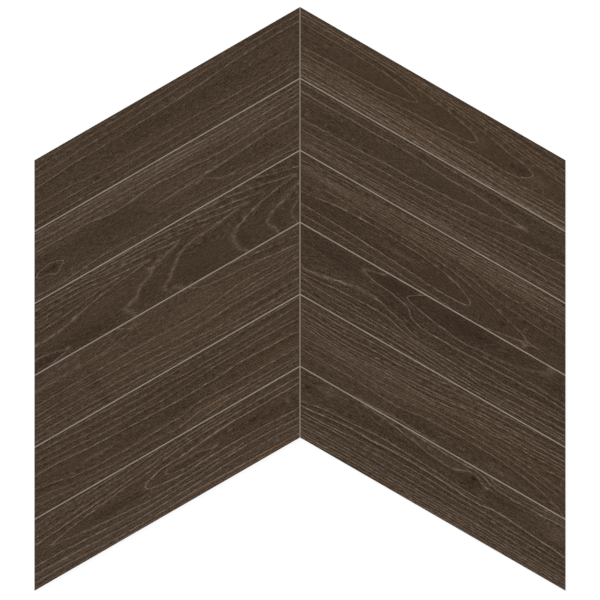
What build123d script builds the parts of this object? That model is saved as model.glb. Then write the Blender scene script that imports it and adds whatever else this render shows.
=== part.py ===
"""Chevron sheet of wood-look porcelain planks.

Two columns of mitred planks meet at a centre joint and slope down from it to both sides, so the
sheet is an arrow whose notch takes the apex of the next sheet. The face is up (+Z), the arrow points
along +Y, and the origin is under the middle of the sheet, on the plane that the backs lie on.
All sizes are in millimetres and degrees.
"""

from build123d import *
import os
from math import ceil, cos, floor, radians, sin, tan

# Plank
plank_width = 80.0  # square across, between the long sides
plank_length = 400.0  # along a long side, between the mitred ends
plank_thickness = 9.0
mitre_angle = 60.0  # between a mitred end and the long sides
arris_bevel = 0.5  # leg of the eased edge round the face

# Setting out
planks_per_column = 6
joint_width = 1.5
joint_recess = 0.6  # how far the filler stays below the face

# Keyed back: rows of shallow square pockets between ribs
key_pocket = 21.0
key_rib = 4.0
key_depth = 0.5
key_margin = 3.0  # least solid border along a long side

# Set out from the sizes above
fall_angle = 90.0 - mitre_angle
fall = tan(radians(fall_angle))
mitre_lean = plank_width / 2 / tan(radians(mitre_angle))
plank_reach = plank_length * cos(radians(fall_angle))
plank_rise = plank_width / cos(radians(fall_angle))
joint_rise = joint_width / cos(radians(fall_angle))
row_pitch = plank_rise + joint_rise
column_height = planks_per_column * row_pitch - joint_rise
half_width = joint_width / 2 + plank_reach
apex = (column_height + half_width * fall) / 2


def plank_plane(side, row):
    """The plane of a plank's back: its centre, with X along the plank and Y across it.

    side is 1 for the right column and -1 for the left, and row counts down from the apex.
    """
    centre_x = joint_width / 2 + plank_reach / 2
    centre_y = apex - centre_x * fall - plank_rise / 2 - row * row_pitch
    along = (cos(radians(fall_angle)), -side * sin(radians(fall_angle)), 0)
    return Plane(origin=(side * centre_x, centre_y, 0), x_dir=along, z_dir=(0, 0, 1))


def plank_corners(side):
    """The corners of a plank in its own plane: a parallelogram with upright mitred ends."""
    half_length = plank_length / 2
    lean = side * mitre_lean
    return [
        (-half_length + lean, -plank_width / 2),
        (half_length + lean, -plank_width / 2),
        (half_length - lean, plank_width / 2),
        (-half_length - lean, plank_width / 2),
    ]


def key_pocket_grid():
    """The counts of pockets along and across: enough to run out at both ends, and whole across."""
    pitch = key_pocket + key_rib
    overall_length = plank_length + 2 * mitre_lean
    across = floor((plank_width - 2 * key_margin + key_rib) / pitch)
    return ceil(overall_length / pitch), max(across, 1)


def make_plank(side, row):
    """One plank: a mitred slab with an eased face edge and a keyed back."""
    plane = plank_plane(side, row)
    pitch = key_pocket + key_rib
    along, across = key_pocket_grid()
    with BuildPart() as plank:
        with BuildSketch(plane):
            Polygon(*plank_corners(side), align=None)
        extrude(amount=plank_thickness)
        chamfer(plank.faces().sort_by(Axis.Z)[-1].edges(), length=arris_bevel)
        # The mitred ends are sawn, so they cut through the pockets that they meet
        with BuildSketch(plane):
            with GridLocations(pitch, pitch, along, across):
                Rectangle(key_pocket, key_pocket)
            Polygon(*plank_corners(side), align=None, mode=Mode.INTERSECT)
        extrude(amount=key_depth, mode=Mode.SUBTRACT)
    return plank


def make_joint_filler():
    """The filler of all joints: the arrow's outline less its planks, stopping short of the face."""
    drop = half_width * fall
    outline = [
        (0, apex),
        (half_width, apex - drop),
        (half_width, apex - drop - column_height),
        (0, apex - column_height),
        (-half_width, apex - drop - column_height),
        (-half_width, apex - drop),
    ]
    with BuildPart() as filler:
        with BuildSketch():
            Polygon(*outline, align=None)
            for side in (-1, 1):
                for row in range(planks_per_column):
                    with Locations(plank_plane(side, row).location):
                        Polygon(*plank_corners(side), align=None, mode=Mode.SUBTRACT)
        extrude(amount=plank_thickness - joint_recess)
    return filler


def write(piece, name):
    """Labels a finished piece and writes it to its own file."""
    piece.part.label = name
    export_step(piece.part, f"parts/{name}.step")


os.makedirs("parts", exist_ok=True)
for side, side_name in ((-1, "left"), (1, "right")):
    for row in range(planks_per_column):
        write(make_plank(side, row), f"plank_{side_name}_{row + 1}")
write(make_joint_filler(), "joint_filler")
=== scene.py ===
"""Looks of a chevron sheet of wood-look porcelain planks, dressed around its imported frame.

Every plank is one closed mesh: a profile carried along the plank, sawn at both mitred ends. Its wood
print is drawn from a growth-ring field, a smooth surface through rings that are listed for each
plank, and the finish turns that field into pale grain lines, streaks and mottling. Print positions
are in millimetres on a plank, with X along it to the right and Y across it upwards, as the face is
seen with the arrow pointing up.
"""

import logging
import math
from dataclasses import dataclass, field
from enum import Enum

import bmesh
import bpy
import numpy as np
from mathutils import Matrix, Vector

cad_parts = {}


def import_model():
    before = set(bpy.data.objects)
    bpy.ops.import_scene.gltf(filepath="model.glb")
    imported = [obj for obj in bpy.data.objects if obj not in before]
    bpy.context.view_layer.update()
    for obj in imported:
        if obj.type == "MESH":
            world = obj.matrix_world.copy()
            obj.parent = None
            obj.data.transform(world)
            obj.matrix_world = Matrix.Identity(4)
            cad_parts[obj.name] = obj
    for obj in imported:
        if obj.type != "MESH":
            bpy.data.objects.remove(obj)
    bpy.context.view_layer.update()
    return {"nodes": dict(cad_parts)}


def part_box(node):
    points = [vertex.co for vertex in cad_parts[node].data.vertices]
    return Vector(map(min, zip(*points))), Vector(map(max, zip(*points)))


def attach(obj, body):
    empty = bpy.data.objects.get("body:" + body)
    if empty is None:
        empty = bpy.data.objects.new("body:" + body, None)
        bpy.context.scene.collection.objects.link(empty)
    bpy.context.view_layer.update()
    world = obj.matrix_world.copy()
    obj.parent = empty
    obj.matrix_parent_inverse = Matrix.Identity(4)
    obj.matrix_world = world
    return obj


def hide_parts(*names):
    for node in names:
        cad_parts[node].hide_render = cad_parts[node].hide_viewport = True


LOG = logging.getLogger("sheet")
MM = 0.001
BODY = "root"


class Side(Enum):
    """The column that a plank lies in, and the way that its length falls from the centre joint."""

    LEFT = -1
    RIGHT = 1


class Slot(Enum):
    """The record's material slot for the planks' print; nothing in the script gives it to a piece."""

    PLANK = "wood_print_porcelain"


def linear(red: float, green: float, blue: float) -> tuple[float, float, float, float]:
    """Turns a display colour into the linear one that a shader takes.

    Args:
        red, green, blue: the colour as it shows, each from 0 to 255.

    Returns:
        The linear colour with full alpha.
    """
    share = np.array([red, green, blue]) / 255
    value = np.where(share <= 0.04045, share / 12.92, ((share + 0.055) / 1.055) ** 2.4)
    return (*map(float, value), 1.0)


@dataclass(frozen=True)
class Ring:
    """A growth ring's pale line.

    Attributes:
        level: its place in the count of rings. Rings side by side differ by one.
        points: the points that it passes through.
        pale: how much of the pale colour it shows.
        width: half its width, in millimetres.
        trail: how far its pores trail off to one side, in millimetres: to higher levels where it
            is above 0 and to lower ones below. The other side is sharp, with darker wood beyond.
    """

    level: float
    points: tuple[tuple[float, float], ...]
    pale: float = 0.7
    width: float = 0.7
    trail: float = -1.6

    def sampled(self, step: float) -> np.ndarray:
        """Points spaced evenly along a smooth curve through the ring's own points.

        The curve is a Catmull-Rom spline: between two points it is the cubic whose slope at each
        is half the way from the point before it to the point after it.

        Args:
            step: the spacing, in millimetres.

        Returns:
            An array of X and Y.
        """
        knots = np.array(self.points, float)
        padded = np.vstack([2 * knots[0] - knots[1], knots, 2 * knots[-1] - knots[-2]])
        spans = []
        for start in range(len(knots) - 1):
            before, here, there, after = padded[start : start + 4]
            count = max(2, int(np.hypot(*(there - here)) / step) + 1)
            t = np.linspace(0, 1, count, endpoint=False)[:, None]
            spans.append(
                0.5 * (
                    2 * here + (there - before) * t
                    + (2 * before - 5 * here + 4 * there - after) * t**2
                    + (3 * here - before - 3 * there + after) * t**3
                )
            )
        spans.append(knots[-1:])
        return np.vstack(spans)


@dataclass(frozen=True)
class Patch:
    """A soft oval of tone on the print: lighter where amount is above 0 and darker below."""

    x: float
    y: float
    half_length: float
    half_width: float
    amount: float

    def at(self, points: np.ndarray) -> np.ndarray:
        """The patch's tone: a bell curve of the distance in half lengths and half widths.

        Args:
            points: positions on the plank, in millimetres.

        Returns:
            The tone at each point.
        """
        along = (points[:, 0] - self.x) / self.half_length
        across = (points[:, 1] - self.y) / self.half_width
        return self.amount * np.exp(-(along**2 + across**2))


@dataclass(frozen=True)
class Print:
    """The wood print of one plank.

    Attributes:
        rings: its ring lines.
        tones: patches of lightness, in display levels.
        warmths: patches of tint, from cool at -1 to warm at 1.
        straights: patches that change how strong the long streaks are.
        ground: the whole print's lightness, in display levels.
        straight: how strong the long streaks are.
        strength: how strong the ring lines are.
    """

    rings: tuple[Ring, ...]
    tones: tuple[Patch, ...] = ()
    warmths: tuple[Patch, ...] = ()
    straights: tuple[Patch, ...] = ()
    ground: float = 0.0
    straight: float = 1.0
    strength: float = 1.0


class RingField:
    """The growth-ring field of a print: a thin-plate surface whose height on each ring is its level.

    The surface is a sum of r squared times log r about each sampled point, plus a plane. Lengths
    along the grain are shortened first, so that rings influence each other further along the grain
    than across it.

    Attributes:
        GRAIN_STRETCH: how many times lengths along the grain are shortened.
        RING_STEP, STIFFNESS: the spacing of sampled points, and how far the surface may miss them.
        WIDEST: the widest spacing of rings, in millimetres.
        LINE_STEP, LINE_REACH: the spacing of a line's points, and how far each one's looks reach.
        LEVEL_REACH: how far a line's looks reach to other levels.
        END_FADE, FAINTEST: how strongly a line holds up to its ends, and where it stops.
        THINNEST: the least half width of a line, in millimetres.
        FLOW_REACH, FLOW_REST: how far a line bends the fibres, and how soon they run straight.
        STEEP, SHORTEST: the slope and the few points from which a stretch doesn't bend them.
        TINY: what keeps a logarithm or a share from dividing by 0.
        CHUNK: how many points are read at a time.
    """

    GRAIN_STRETCH = 3.0
    RING_STEP = 11.0
    STIFFNESS = 0.004
    WIDEST = 80.0
    LINE_STEP = 4.0
    LINE_REACH = 4.0
    LEVEL_REACH = 0.3
    END_FADE = 1.5
    FAINTEST = 1e-4
    THINNEST = 0.35
    FLOW_REACH = (40.0, 6.0)
    FLOW_REST = 0.05
    STEEP = 0.45
    SHORTEST = 3
    TINY = (1e-6, 1e-9)
    CHUNK = 3000

    def __init__(self, rings: tuple[Ring, ...]) -> None:
        """Solves the surface through the rings.

        Args:
            rings: the rings of one plank.
        """
        sampled = [ring.sampled(self.RING_STEP) for ring in rings]
        repeat = [len(points) for points in sampled]
        self.points = np.vstack(sampled)
        self.level = np.repeat([ring.level for ring in rings], repeat)
        count = len(self.points)
        self.scaled = self.points / (self.GRAIN_STRETCH, 1.0)
        kernel, _ = self._kernel(self.scaled)
        plane = np.hstack([np.ones((count, 1)), self.scaled])
        system = np.zeros((count + 3, count + 3))
        system[:count, :count] = kernel + self.STIFFNESS * np.eye(count) * count
        system[:count, count:] = plane
        system[count:, :count] = plane.T
        self.weights = np.linalg.solve(system, np.concatenate([self.level, np.zeros(3)]))
        self._set_looks(rings)
        self._set_flow(sampled)

    def _set_looks(self, rings: tuple[Ring, ...]) -> None:
        """Notes the looks of each ring's line at points close together along it.

        Args:
            rings: the rings of one plank.
        """
        sampled = [ring.sampled(self.LINE_STEP) for ring in rings]
        repeat = [len(points) for points in sampled]
        self.line_places = np.vstack(sampled)
        self.line_level = np.repeat([ring.level for ring in rings], repeat)
        self.looks = np.repeat([(ring.pale, ring.width, ring.trail) for ring in rings], repeat, axis=0)
        self.line_reach = self.LINE_REACH + np.abs(self.looks[:, 2])

    def _set_flow(self, sampled: list[np.ndarray]) -> None:
        """Notes how far each gently sloping stretch of a ring lies from its own mean height.

        The two limbs of a hairpin run opposite ways, so they are two stretches.

        Args:
            sampled: the points of each ring.
        """
        places, offsets = [], []
        for points in sampled:
            step = np.diff(points, axis=0)
            gentle = np.abs(step[:, 1]) < self.STEEP * np.abs(step[:, 0])
            sense = np.where(gentle, np.sign(step[:, 0]), 0)
            breaks = np.flatnonzero(np.diff(np.concatenate([[0], sense, [0]])))
            for first, last in zip(breaks[:-1], breaks[1:]):
                stretch = points[first : last + 1]
                if sense[first] and len(stretch) > self.SHORTEST:
                    places.append(stretch)
                    offsets.append(stretch[:, 1].mean() - stretch[:, 1])
        self.flow_places = np.vstack(places)
        self.flow_offsets = np.concatenate(offsets)

    def _kernel(self, points: np.ndarray) -> tuple[np.ndarray, np.ndarray]:
        """The kernel r squared times log r between points and the rings' points.

        Args:
            points: scaled positions.

        Returns:
            The kernel, and its slope for each unit of offset.
        """
        offset = points[:, None, :] - self.scaled[None, :, :]
        square = (offset**2).sum(2) + self.TINY[0]
        log = np.log(square)
        return 0.5 * square * log, (log + 1.0)

    def at(self, points: np.ndarray) -> dict[str, np.ndarray]:
        """Reads the field.

        Args:
            points: positions on the plank, in millimetres.

        Returns:
            The ring coordinate, the spacing of rings in millimetres, the pale share, half width
            and trail of the nearest ring's line, and the height that fibres keep to.
        """
        parts = [self._read(points[i : i + self.CHUNK]) for i in range(0, len(points), self.CHUNK)]
        return {name: np.concatenate([part[name] for part in parts]) for name in parts[0]}

    def _read(self, points: np.ndarray) -> dict[str, np.ndarray]:
        """Reads the field at a few thousand points.

        Args:
            points: positions on the plank, in millimetres.

        Returns:
            What at() returns.
        """
        scaled = points / (self.GRAIN_STRETCH, 1.0)
        kernel, slope = self._kernel(scaled)
        bend, constant, tilt = self.weights[:-3], self.weights[-3], self.weights[-2:]
        ring = kernel @ bend + constant + scaled @ tilt
        pulled = slope * bend
        total = pulled.sum(1)
        gradient = np.stack(
            [(total * scaled[:, k] - pulled @ self.scaled[:, k] + tilt[k]) for k in (0, 1)], 1
        )
        gradient[:, 0] /= self.GRAIN_STRETCH
        spacing = 1 / np.maximum(np.hypot(gradient[:, 0], gradient[:, 1]), 1 / self.WIDEST)
        # Only the ring whose level is nearest counts, and it fades beyond its ends
        square = ((points[:, None, :] - self.line_places[None, :, :]) ** 2).sum(2) / self.line_reach**2
        near = np.exp(-square - ((ring[:, None] - self.line_level[None, :]) / self.LEVEL_REACH) ** 2)
        looks = near @ self.looks / (near.sum(1)[:, None] + self.TINY[1])
        held = np.clip(np.exp(-square).max(1) * self.END_FADE, 0, 1) * (near.max(1) > self.FAINTEST)
        offset = (points[:, None, :] - self.flow_places[None, :, :]) / self.FLOW_REACH
        pull = np.exp(-(offset**2).sum(2))
        return {
            "ring": ring,
            "spacing": spacing,
            "pale": looks[:, 0] * held,
            "width": np.maximum(looks[:, 1], self.THINNEST),
            "trail": looks[:, 2],
            "flow": points[:, 1] + pull @ self.flow_offsets / (pull.sum(1) + self.FLOW_REST),
        }


@dataclass(frozen=True)
class Grain:
    """A noise of the finishes.

    Attributes:
        cells: its cells to a metre, along, across and through.
        amount: how much it adds between its lowest and its highest.
        detail: how many finer layers it has.
        roughness: how strong the finer layers are.
    """

    cells: tuple[float, float, float]
    amount: float = 1.0
    detail: float = 2.0
    roughness: float = 0.55


class Nodes:
    """A short way to write the node tree of a material or a world."""

    def __init__(self, owner: bpy.types.ID) -> None:
        """Empties the owner's tree.

        Args:
            owner: the material or world.
        """
        self.owner = owner
        owner.use_nodes = True
        self.tree = owner.node_tree
        self.tree.nodes.clear()

    def add(self, kind: str, **settings: object) -> bpy.types.Node:
        """Adds a node.

        Args:
            kind: its type, as in ShaderNodeMath.
            settings: its properties.

        Returns:
            The node.
        """
        node = self.tree.nodes.new(kind)
        for key, value in settings.items():
            setattr(node, key, value)
        return node

    def feed(self, socket: bpy.types.NodeSocket, value: object) -> None:
        """Links a socket to another, or sets it to a plain value.

        Args:
            socket: the input.
            value: an output to link, or a plain value.
        """
        if isinstance(value, bpy.types.NodeSocket):
            self.tree.links.new(value, socket)
        else:
            socket.default_value = value

    def attribute(self, name: str, vector: bool = False) -> bpy.types.NodeSocket:
        """Reads a mesh attribute, as a number or as a vector."""
        node = self.add("ShaderNodeAttribute", attribute_name=name)
        return node.outputs["Vector" if vector else "Fac"]

    def math(self, operation: str, first: object, second: object = 0.0) -> bpy.types.NodeSocket:
        """Adds one arithmetic step.

        Args:
            operation: which one, as Blender names it.
            first, second: its inputs.

        Returns:
            The result.
        """
        node = self.add("ShaderNodeMath", operation=operation)
        self.feed(node.inputs[0], first)
        self.feed(node.inputs[1], second)
        return node.outputs[0]

    def times(self, first: object, second: object) -> bpy.types.NodeSocket:
        """Multiplies two numbers."""
        return self.math("MULTIPLY", first, second)

    def plus(self, first: object, second: object) -> bpy.types.NodeSocket:
        """Adds two numbers."""
        return self.math("ADD", first, second)

    def bell(self, share: object) -> bpy.types.NodeSocket:
        """A bell curve: 1 where the share is 0, and nearly 0 from 2 on."""
        return self.math("EXPONENT", self.times(self.times(share, share), -1.0))

    def product(self, first: object, second: object) -> bpy.types.NodeSocket:
        """Multiplies two vectors or colours, each part by its own.

        Args:
            first, second: the two.

        Returns:
            The product.
        """
        node = self.add("ShaderNodeVectorMath", operation="MULTIPLY")
        self.feed(node.inputs[0], first)
        self.feed(node.inputs[1], second)
        return node.outputs[0]

    def noise(self, place: object, grain: Grain) -> bpy.types.NodeSocket:
        """Adds cloud noise.

        Args:
            place: where it is read.
            grain: how fine and how rough it is.

        Returns:
            The noise, about 0.5.
        """
        node = self.add("ShaderNodeTexNoise", noise_dimensions="3D")
        self.feed(node.inputs["Vector"], self.product(place, grain.cells))
        node.inputs["Scale"].default_value = 1.0
        node.inputs["Detail"].default_value = grain.detail
        node.inputs["Roughness"].default_value = grain.roughness
        return node.outputs["Fac"]

    def swing(self, place: object, grain: Grain) -> bpy.types.NodeSocket:
        """The noise's swing to both sides of 0, times its amount."""
        return self.times(self.math("SUBTRACT", self.noise(place, grain), 0.5), grain.amount)

    def span(
        self, value: object, low: float, high: float, to_low: float = 0.0, to_high: float = 1.0
    ) -> bpy.types.NodeSocket:
        """Maps one span of numbers to another, and holds its ends beyond it.

        Args:
            value: the number.
            low, high: the span that it comes from.
            to_low, to_high: what the two turn into.

        Returns:
            The mapped number.
        """
        node = self.add("ShaderNodeMapRange", clamp=True)
        for socket, item in zip(node.inputs, (value, low, high, to_low, to_high)):
            self.feed(socket, item)
        return node.outputs[0]

    def mix(self, share: object, first: object, second: object) -> bpy.types.NodeSocket:
        """Mixes two colours.

        Args:
            share: how much of the second there is.
            first, second: the colours.

        Returns:
            The mixed colour.
        """
        node = self.add("ShaderNodeMix", data_type="RGBA", clamp_factor=True)
        self.feed(node.inputs["Factor"], share)
        self.feed(node.inputs[6], first)
        self.feed(node.inputs[7], second)
        return node.outputs[2]

    def bump(self, height: object, strength: float, distance: float) -> bpy.types.NodeSocket:
        """The normal of a rough surface.

        Args:
            height: how high the surface stands.
            strength: how much of it shows.
            distance: what a height of 1 comes to, in millimetres.

        Returns:
            The normal.
        """
        node = self.add("ShaderNodeBump")
        node.inputs["Strength"].default_value = strength
        node.inputs["Distance"].default_value = distance * MM
        self.feed(node.inputs["Height"], height)
        return node.outputs[0]

    def showing_white(self) -> bpy.types.NodeSocket:
        """Tells the rays that show the white surroundings from the others.

        Returns:
            1 for camera, glossy and transmission rays, and 0 for others.
        """
        path = self.add("ShaderNodeLightPath")
        bent = self.math("MAXIMUM", path.outputs["Is Glossy Ray"], path.outputs["Is Transmission Ray"])
        return self.math("MAXIMUM", path.outputs["Is Camera Ray"], bent)

    def surface(self, **sockets: object) -> bpy.types.Material:
        """Ends the tree with a Principled shader.

        Args:
            sockets: its inputs by name, with an underscore for a space.

        Returns:
            The material.
        """
        shader = self.add("ShaderNodeBsdfPrincipled")
        for name, value in sockets.items():
            self.feed(shader.inputs[name.replace("_", " ")], value)
        output = self.add("ShaderNodeOutputMaterial")
        self.tree.links.new(shader.outputs[0], output.inputs[0])
        return self.owner


@dataclass(frozen=True)
class WoodPrintFinish:
    """Matte print of dark wood: pale ring lines and pores over streaked, speckled brown.

    The print's lightness is counted in display levels, from 0 to 255, and a ramp of shades turns
    it into colour, which warmth then tints from cool at -1 to warm at 1. A span is low, high and
    what they turn into, which is 0 and 1 where it isn't said.

    Attributes:
        shades: the ramp, as a level and its display colour. It reaches up to ramp_top.
        warm, cool: what the tints multiply the colour by.
        bump_levels, bump_strength, bump_distance: the levels of a height of 1, and the relief.
        ground: the ground's lightness.
        line: what a ring line's core adds.
        flank, flank_width: what the wood beside it takes away, and how far, in millimetres.
        pores: what the pores that trail off its one side add.
        shade_beyond, beyond_fade: what its other side takes away, and how soon, to a millimetre.
        trail_edge, beyond_edge: where, off the line's middle, the two sides come in.
        least_trail: the shortest trail, in millimetres.
        waver_share, waver_least: how far a line wavers, for each millimetre of width and at least.
        waver: the noise that moves a line.
        gaps, gap_span: the noise that breaks a core up, and what it leaves of it.
        wide, wide_share: the widths from which pores break a core up, and how much.
        clouds, streaks, fibres, speckle: the ground's noises, from broad to fine.
        pore, pore_span: the pores' noise, and its strength on a trail.
        dash_span, dashes: the strongest pores, which also show on the ground, and what they add.
        calm, calm_span: what is left of fibres and speckle where the streaks are weak, and where.
        depth: what the print's tone patches are multiplied by.
    """

    shades: tuple[tuple[float, tuple[float, float, float]], ...] = (
        (26, (30, 13, 0)),
        (44, (50, 36, 24)),
        (57, (66, 51, 37)),
        (72, (82, 67, 53)),
        (90, (101, 85, 72)),
        (120, (130, 118, 108)),
    )
    ramp_top: float = 128.0
    warm: tuple[float, float, float, float] = (1.06, 1.0, 0.84, 1.0)
    cool: tuple[float, float, float, float] = (0.95, 1.0, 1.14, 1.0)
    roughness: float = 0.62
    sheen: float = 0.1
    bump_levels: float = 60.0
    bump_strength: float = 0.2
    bump_distance: float = 0.1
    ground: float = 55.5
    line: float = 44.0
    flank: float = 7.0
    flank_width: float = 1.9
    pores: float = 13.0
    shade_beyond: float = 5.0
    beyond_fade: float = 0.3
    trail_edge: tuple[float, float] = (-0.6, 0.2)
    beyond_edge: tuple[float, float] = (-0.2, -1.2)
    least_trail: float = 0.2
    waver: Grain = Grain((90, 240, 60), detail=3.0)
    waver_share: float = 2.0
    waver_least: float = 0.3
    gaps: Grain = Grain((45, 200, 60), detail=4.0, roughness=0.7)
    gap_span: tuple[float, float, float, float] = (0.35, 0.6, 0.55, 1.15)
    wide: tuple[float, float] = (1.0, 2.2)
    wide_share: float = 0.6
    clouds: Grain = Grain((16, 75, 50), 5.0, detail=1.0)
    streaks: Grain = Grain((9, 490, 50), 31.0, detail=1.0, roughness=0.8)
    fibres: Grain = Grain((130, 740, 50), 34.0, detail=0.0)
    speckle: Grain = Grain((520, 800, 50), 58.0, detail=0.0)
    pore: Grain = Grain((110, 800, 70), detail=1.0)
    pore_span: tuple[float, float, float, float] = (0.38, 0.62, 0.2, 1.8)
    dash_span: tuple[float, float] = (0.6, 0.72)
    dashes: float = 18.0
    calm: float = 0.5
    calm_span: tuple[float, float] = (0.3, 1.0)
    depth: float = 1.2

    def _ring_lines(self, n: Nodes, grain: object, speck: object) -> bpy.types.NodeSocket:
        """The ring lines' lightness: a core, pores trailing off one side, and darker wood beyond.

        Args:
            n: the material's nodes.
            grain: the print's own coordinates.
            speck: noise that breaks the pores up.

        Returns:
            Display levels to add.
        """
        spacing = n.attribute("spacing")
        width = n.attribute("width")
        trail = n.attribute("trail")
        # The distance from the nearest ring, in millimetres, wavering with the noise
        amount = n.plus(n.times(width, self.waver_share), self.waver_least)
        waver = n.math("DIVIDE", n.times(n.swing(grain, self.waver), amount), spacing)
        moved = n.plus(n.attribute("ring"), waver)
        off = n.times(n.math("SUBTRACT", moved, n.math("ROUND", moved)), spacing)
        core = n.bell(n.math("DIVIDE", off, width))
        flank = n.bell(n.math("DIVIDE", off, self.flank_width))
        # The same distance, above 0 on the side of the pores
        aside = n.times(off, n.math("SIGN", trail))
        reach = n.math("MAXIMUM", n.math("ABSOLUTE", trail), self.least_trail)
        trailing = n.times(n.math("DIVIDE", n.math("MAXIMUM", aside, 0.0), reach), -1.0)
        trailing = n.times(n.math("EXPONENT", trailing), n.span(aside, *self.trail_edge))
        beyond = n.times(n.math("MAXIMUM", n.times(aside, -1.0), 0.0), -self.beyond_fade)
        beyond = n.times(n.math("EXPONENT", beyond), n.span(aside, *self.beyond_edge))
        gaps = n.span(n.noise(grain, self.gaps), *self.gap_span)
        dotted = n.times(n.math("SUBTRACT", speck, 1.0), n.span(width, *self.wide, 0.0, self.wide_share))
        gaps = n.times(gaps, n.plus(dotted, 1.0))
        total = n.times(n.times(core, gaps), self.line)
        total = n.plus(total, n.times(n.times(trailing, speck), self.pores))
        total = n.math("SUBTRACT", total, n.times(beyond, self.shade_beyond))
        total = n.math("SUBTRACT", total, n.times(flank, self.flank))
        return n.times(total, n.attribute("pale"))

    def _along_flow(self, n: Nodes, grain: object) -> bpy.types.NodeSocket:
        """Bends the print's coordinates with its rings.

        Args:
            n: the material's nodes.
            grain: the print's own coordinates.

        Returns:
            The coordinates with the height that fibres keep to in place of Y.
        """
        split = n.add("ShaderNodeSeparateXYZ")
        n.feed(split.inputs[0], grain)
        along = n.add("ShaderNodeCombineXYZ")
        n.feed(along.inputs[0], split.outputs[0])
        n.feed(along.inputs[1], n.times(n.attribute("flow"), MM))
        n.feed(along.inputs[2], split.outputs[2])
        return along.outputs[0]

    def _colour(self, n: Nodes, value: object) -> bpy.types.NodeSocket:
        """Turns lightness into colour by the ramp of shades and the tint.

        Args:
            n: the material's nodes.
            value: the lightness, in display levels.

        Returns:
            The colour.
        """
        ramp = n.add("ShaderNodeValToRGB")
        n.feed(ramp.inputs[0], n.math("DIVIDE", value, self.ramp_top))
        stops = ramp.color_ramp.elements
        for _ in self.shades[2:]:
            stops.new(0.5)
        for stop, (level, shade) in zip(stops, self.shades):
            stop.position = level / self.ramp_top
            stop.color = linear(*shade)
        tint = n.mix(n.span(n.attribute("warmth"), -1.0, 1.0), self.cool, self.warm)
        return n.product(ramp.outputs[0], tint)

    def material(self) -> bpy.types.Material:
        """Builds the finish.

        Returns:
            A material that reads the print's attributes.
        """
        n = Nodes(bpy.data.materials.new("wood_print"))
        grain = n.attribute("grain", vector=True)
        straight = n.attribute("straight")
        fibre = self._along_flow(n, grain)
        pore = n.noise(fibre, self.pore)
        value = n.plus(n.swing(fibre, self.clouds), self.ground)
        value = n.plus(value, n.times(n.swing(fibre, self.streaks), straight))
        even = n.plus(n.swing(fibre, self.fibres), n.swing(grain, self.speckle))
        value = n.plus(value, n.times(even, n.span(straight, *self.calm_span, self.calm, 1.0)))
        value = n.plus(value, n.times(n.span(pore, *self.dash_span), self.dashes))
        value = n.plus(value, self._ring_lines(n, grain, n.span(pore, *self.pore_span)))
        value = n.plus(value, n.times(n.attribute("tone"), self.depth))
        return n.surface(
            Base_Color=self._colour(n, value),
            Roughness=self.roughness,
            Specular_IOR_Level=self.sheen,
            Normal=n.bump(n.math("DIVIDE", value, self.bump_levels), self.bump_strength, self.bump_distance),
        )


@dataclass(frozen=True)
class FiredBodyFinish:
    """Unglazed porcelain body on the sawn ends, the sides and the keyed back."""

    colour: tuple[float, float, float] = (126, 112, 98)
    speck: tuple[float, float, float] = (92, 80, 70)
    roughness: float = 0.85
    specks: Grain = Grain((1400, 1400, 1400))
    specks_span: tuple[float, float, float, float] = (0.5, 0.75, 0.0, 0.7)
    clouds: Grain = Grain((60, 60, 60), detail=3.0)
    clouds_span: tuple[float, float, float, float] = (0.35, 0.7, 0.0, 0.25)
    bump_strength: float = 0.4
    bump_distance: float = 0.15

    def material(self) -> bpy.types.Material:
        """Builds the finish.

        Returns:
            A fine-grained body with darker specks.
        """
        n = Nodes(bpy.data.materials.new("fired_body"))
        place = n.add("ShaderNodeTexCoord").outputs["Object"]
        specks = n.noise(place, self.specks)
        clouds = n.noise(place, self.clouds)
        share = n.plus(n.span(specks, *self.specks_span), n.span(clouds, *self.clouds_span))
        return n.surface(
            Base_Color=n.mix(share, linear(*self.colour), linear(*self.speck)),
            Roughness=self.roughness,
            Normal=n.bump(specks, self.bump_strength, self.bump_distance),
        )


@dataclass(frozen=True)
class CementFinish:
    """Pale sandy joint filler, a little darker in the upright centre joint."""

    colour: tuple[float, float, float] = (156, 145, 134)
    sand: tuple[float, float, float] = (124, 112, 101)
    centre_span: tuple[float, float, float, float] = (0.9 * MM, 1.4 * MM, 0.4, 0.0)
    roughness: float = 0.9
    grains: Grain = Grain((2200, 2200, 2200))
    grains_span: tuple[float, float, float, float] = (0.48, 0.8, 0.0, 0.6)
    clouds: Grain = Grain((45, 45, 45), detail=3.0)
    clouds_span: tuple[float, float, float, float] = (0.4, 0.75, 0.0, 0.5)
    bump_strength: float = 0.5
    bump_distance: float = 0.2

    def material(self) -> bpy.types.Material:
        """Builds the finish.

        Returns:
            Pale cement with darker grains of sand.
        """
        n = Nodes(bpy.data.materials.new("cement"))
        place = n.add("ShaderNodeTexCoord").outputs["Object"]
        grains = n.noise(place, self.grains)
        clouds = n.noise(place, self.clouds)
        share = n.plus(n.span(grains, *self.grains_span), n.span(clouds, *self.clouds_span))
        split = n.add("ShaderNodeSeparateXYZ")
        n.feed(split.inputs[0], place)
        centre = n.span(n.math("ABSOLUTE", split.outputs[0]), *self.centre_span)
        colour = n.mix(share, linear(*self.colour), linear(*self.sand))
        return n.surface(
            Base_Color=n.mix(centre, colour, linear(*self.sand)),
            Roughness=self.roughness,
            Normal=n.bump(grains, self.bump_strength, self.bump_distance),
        )


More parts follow.
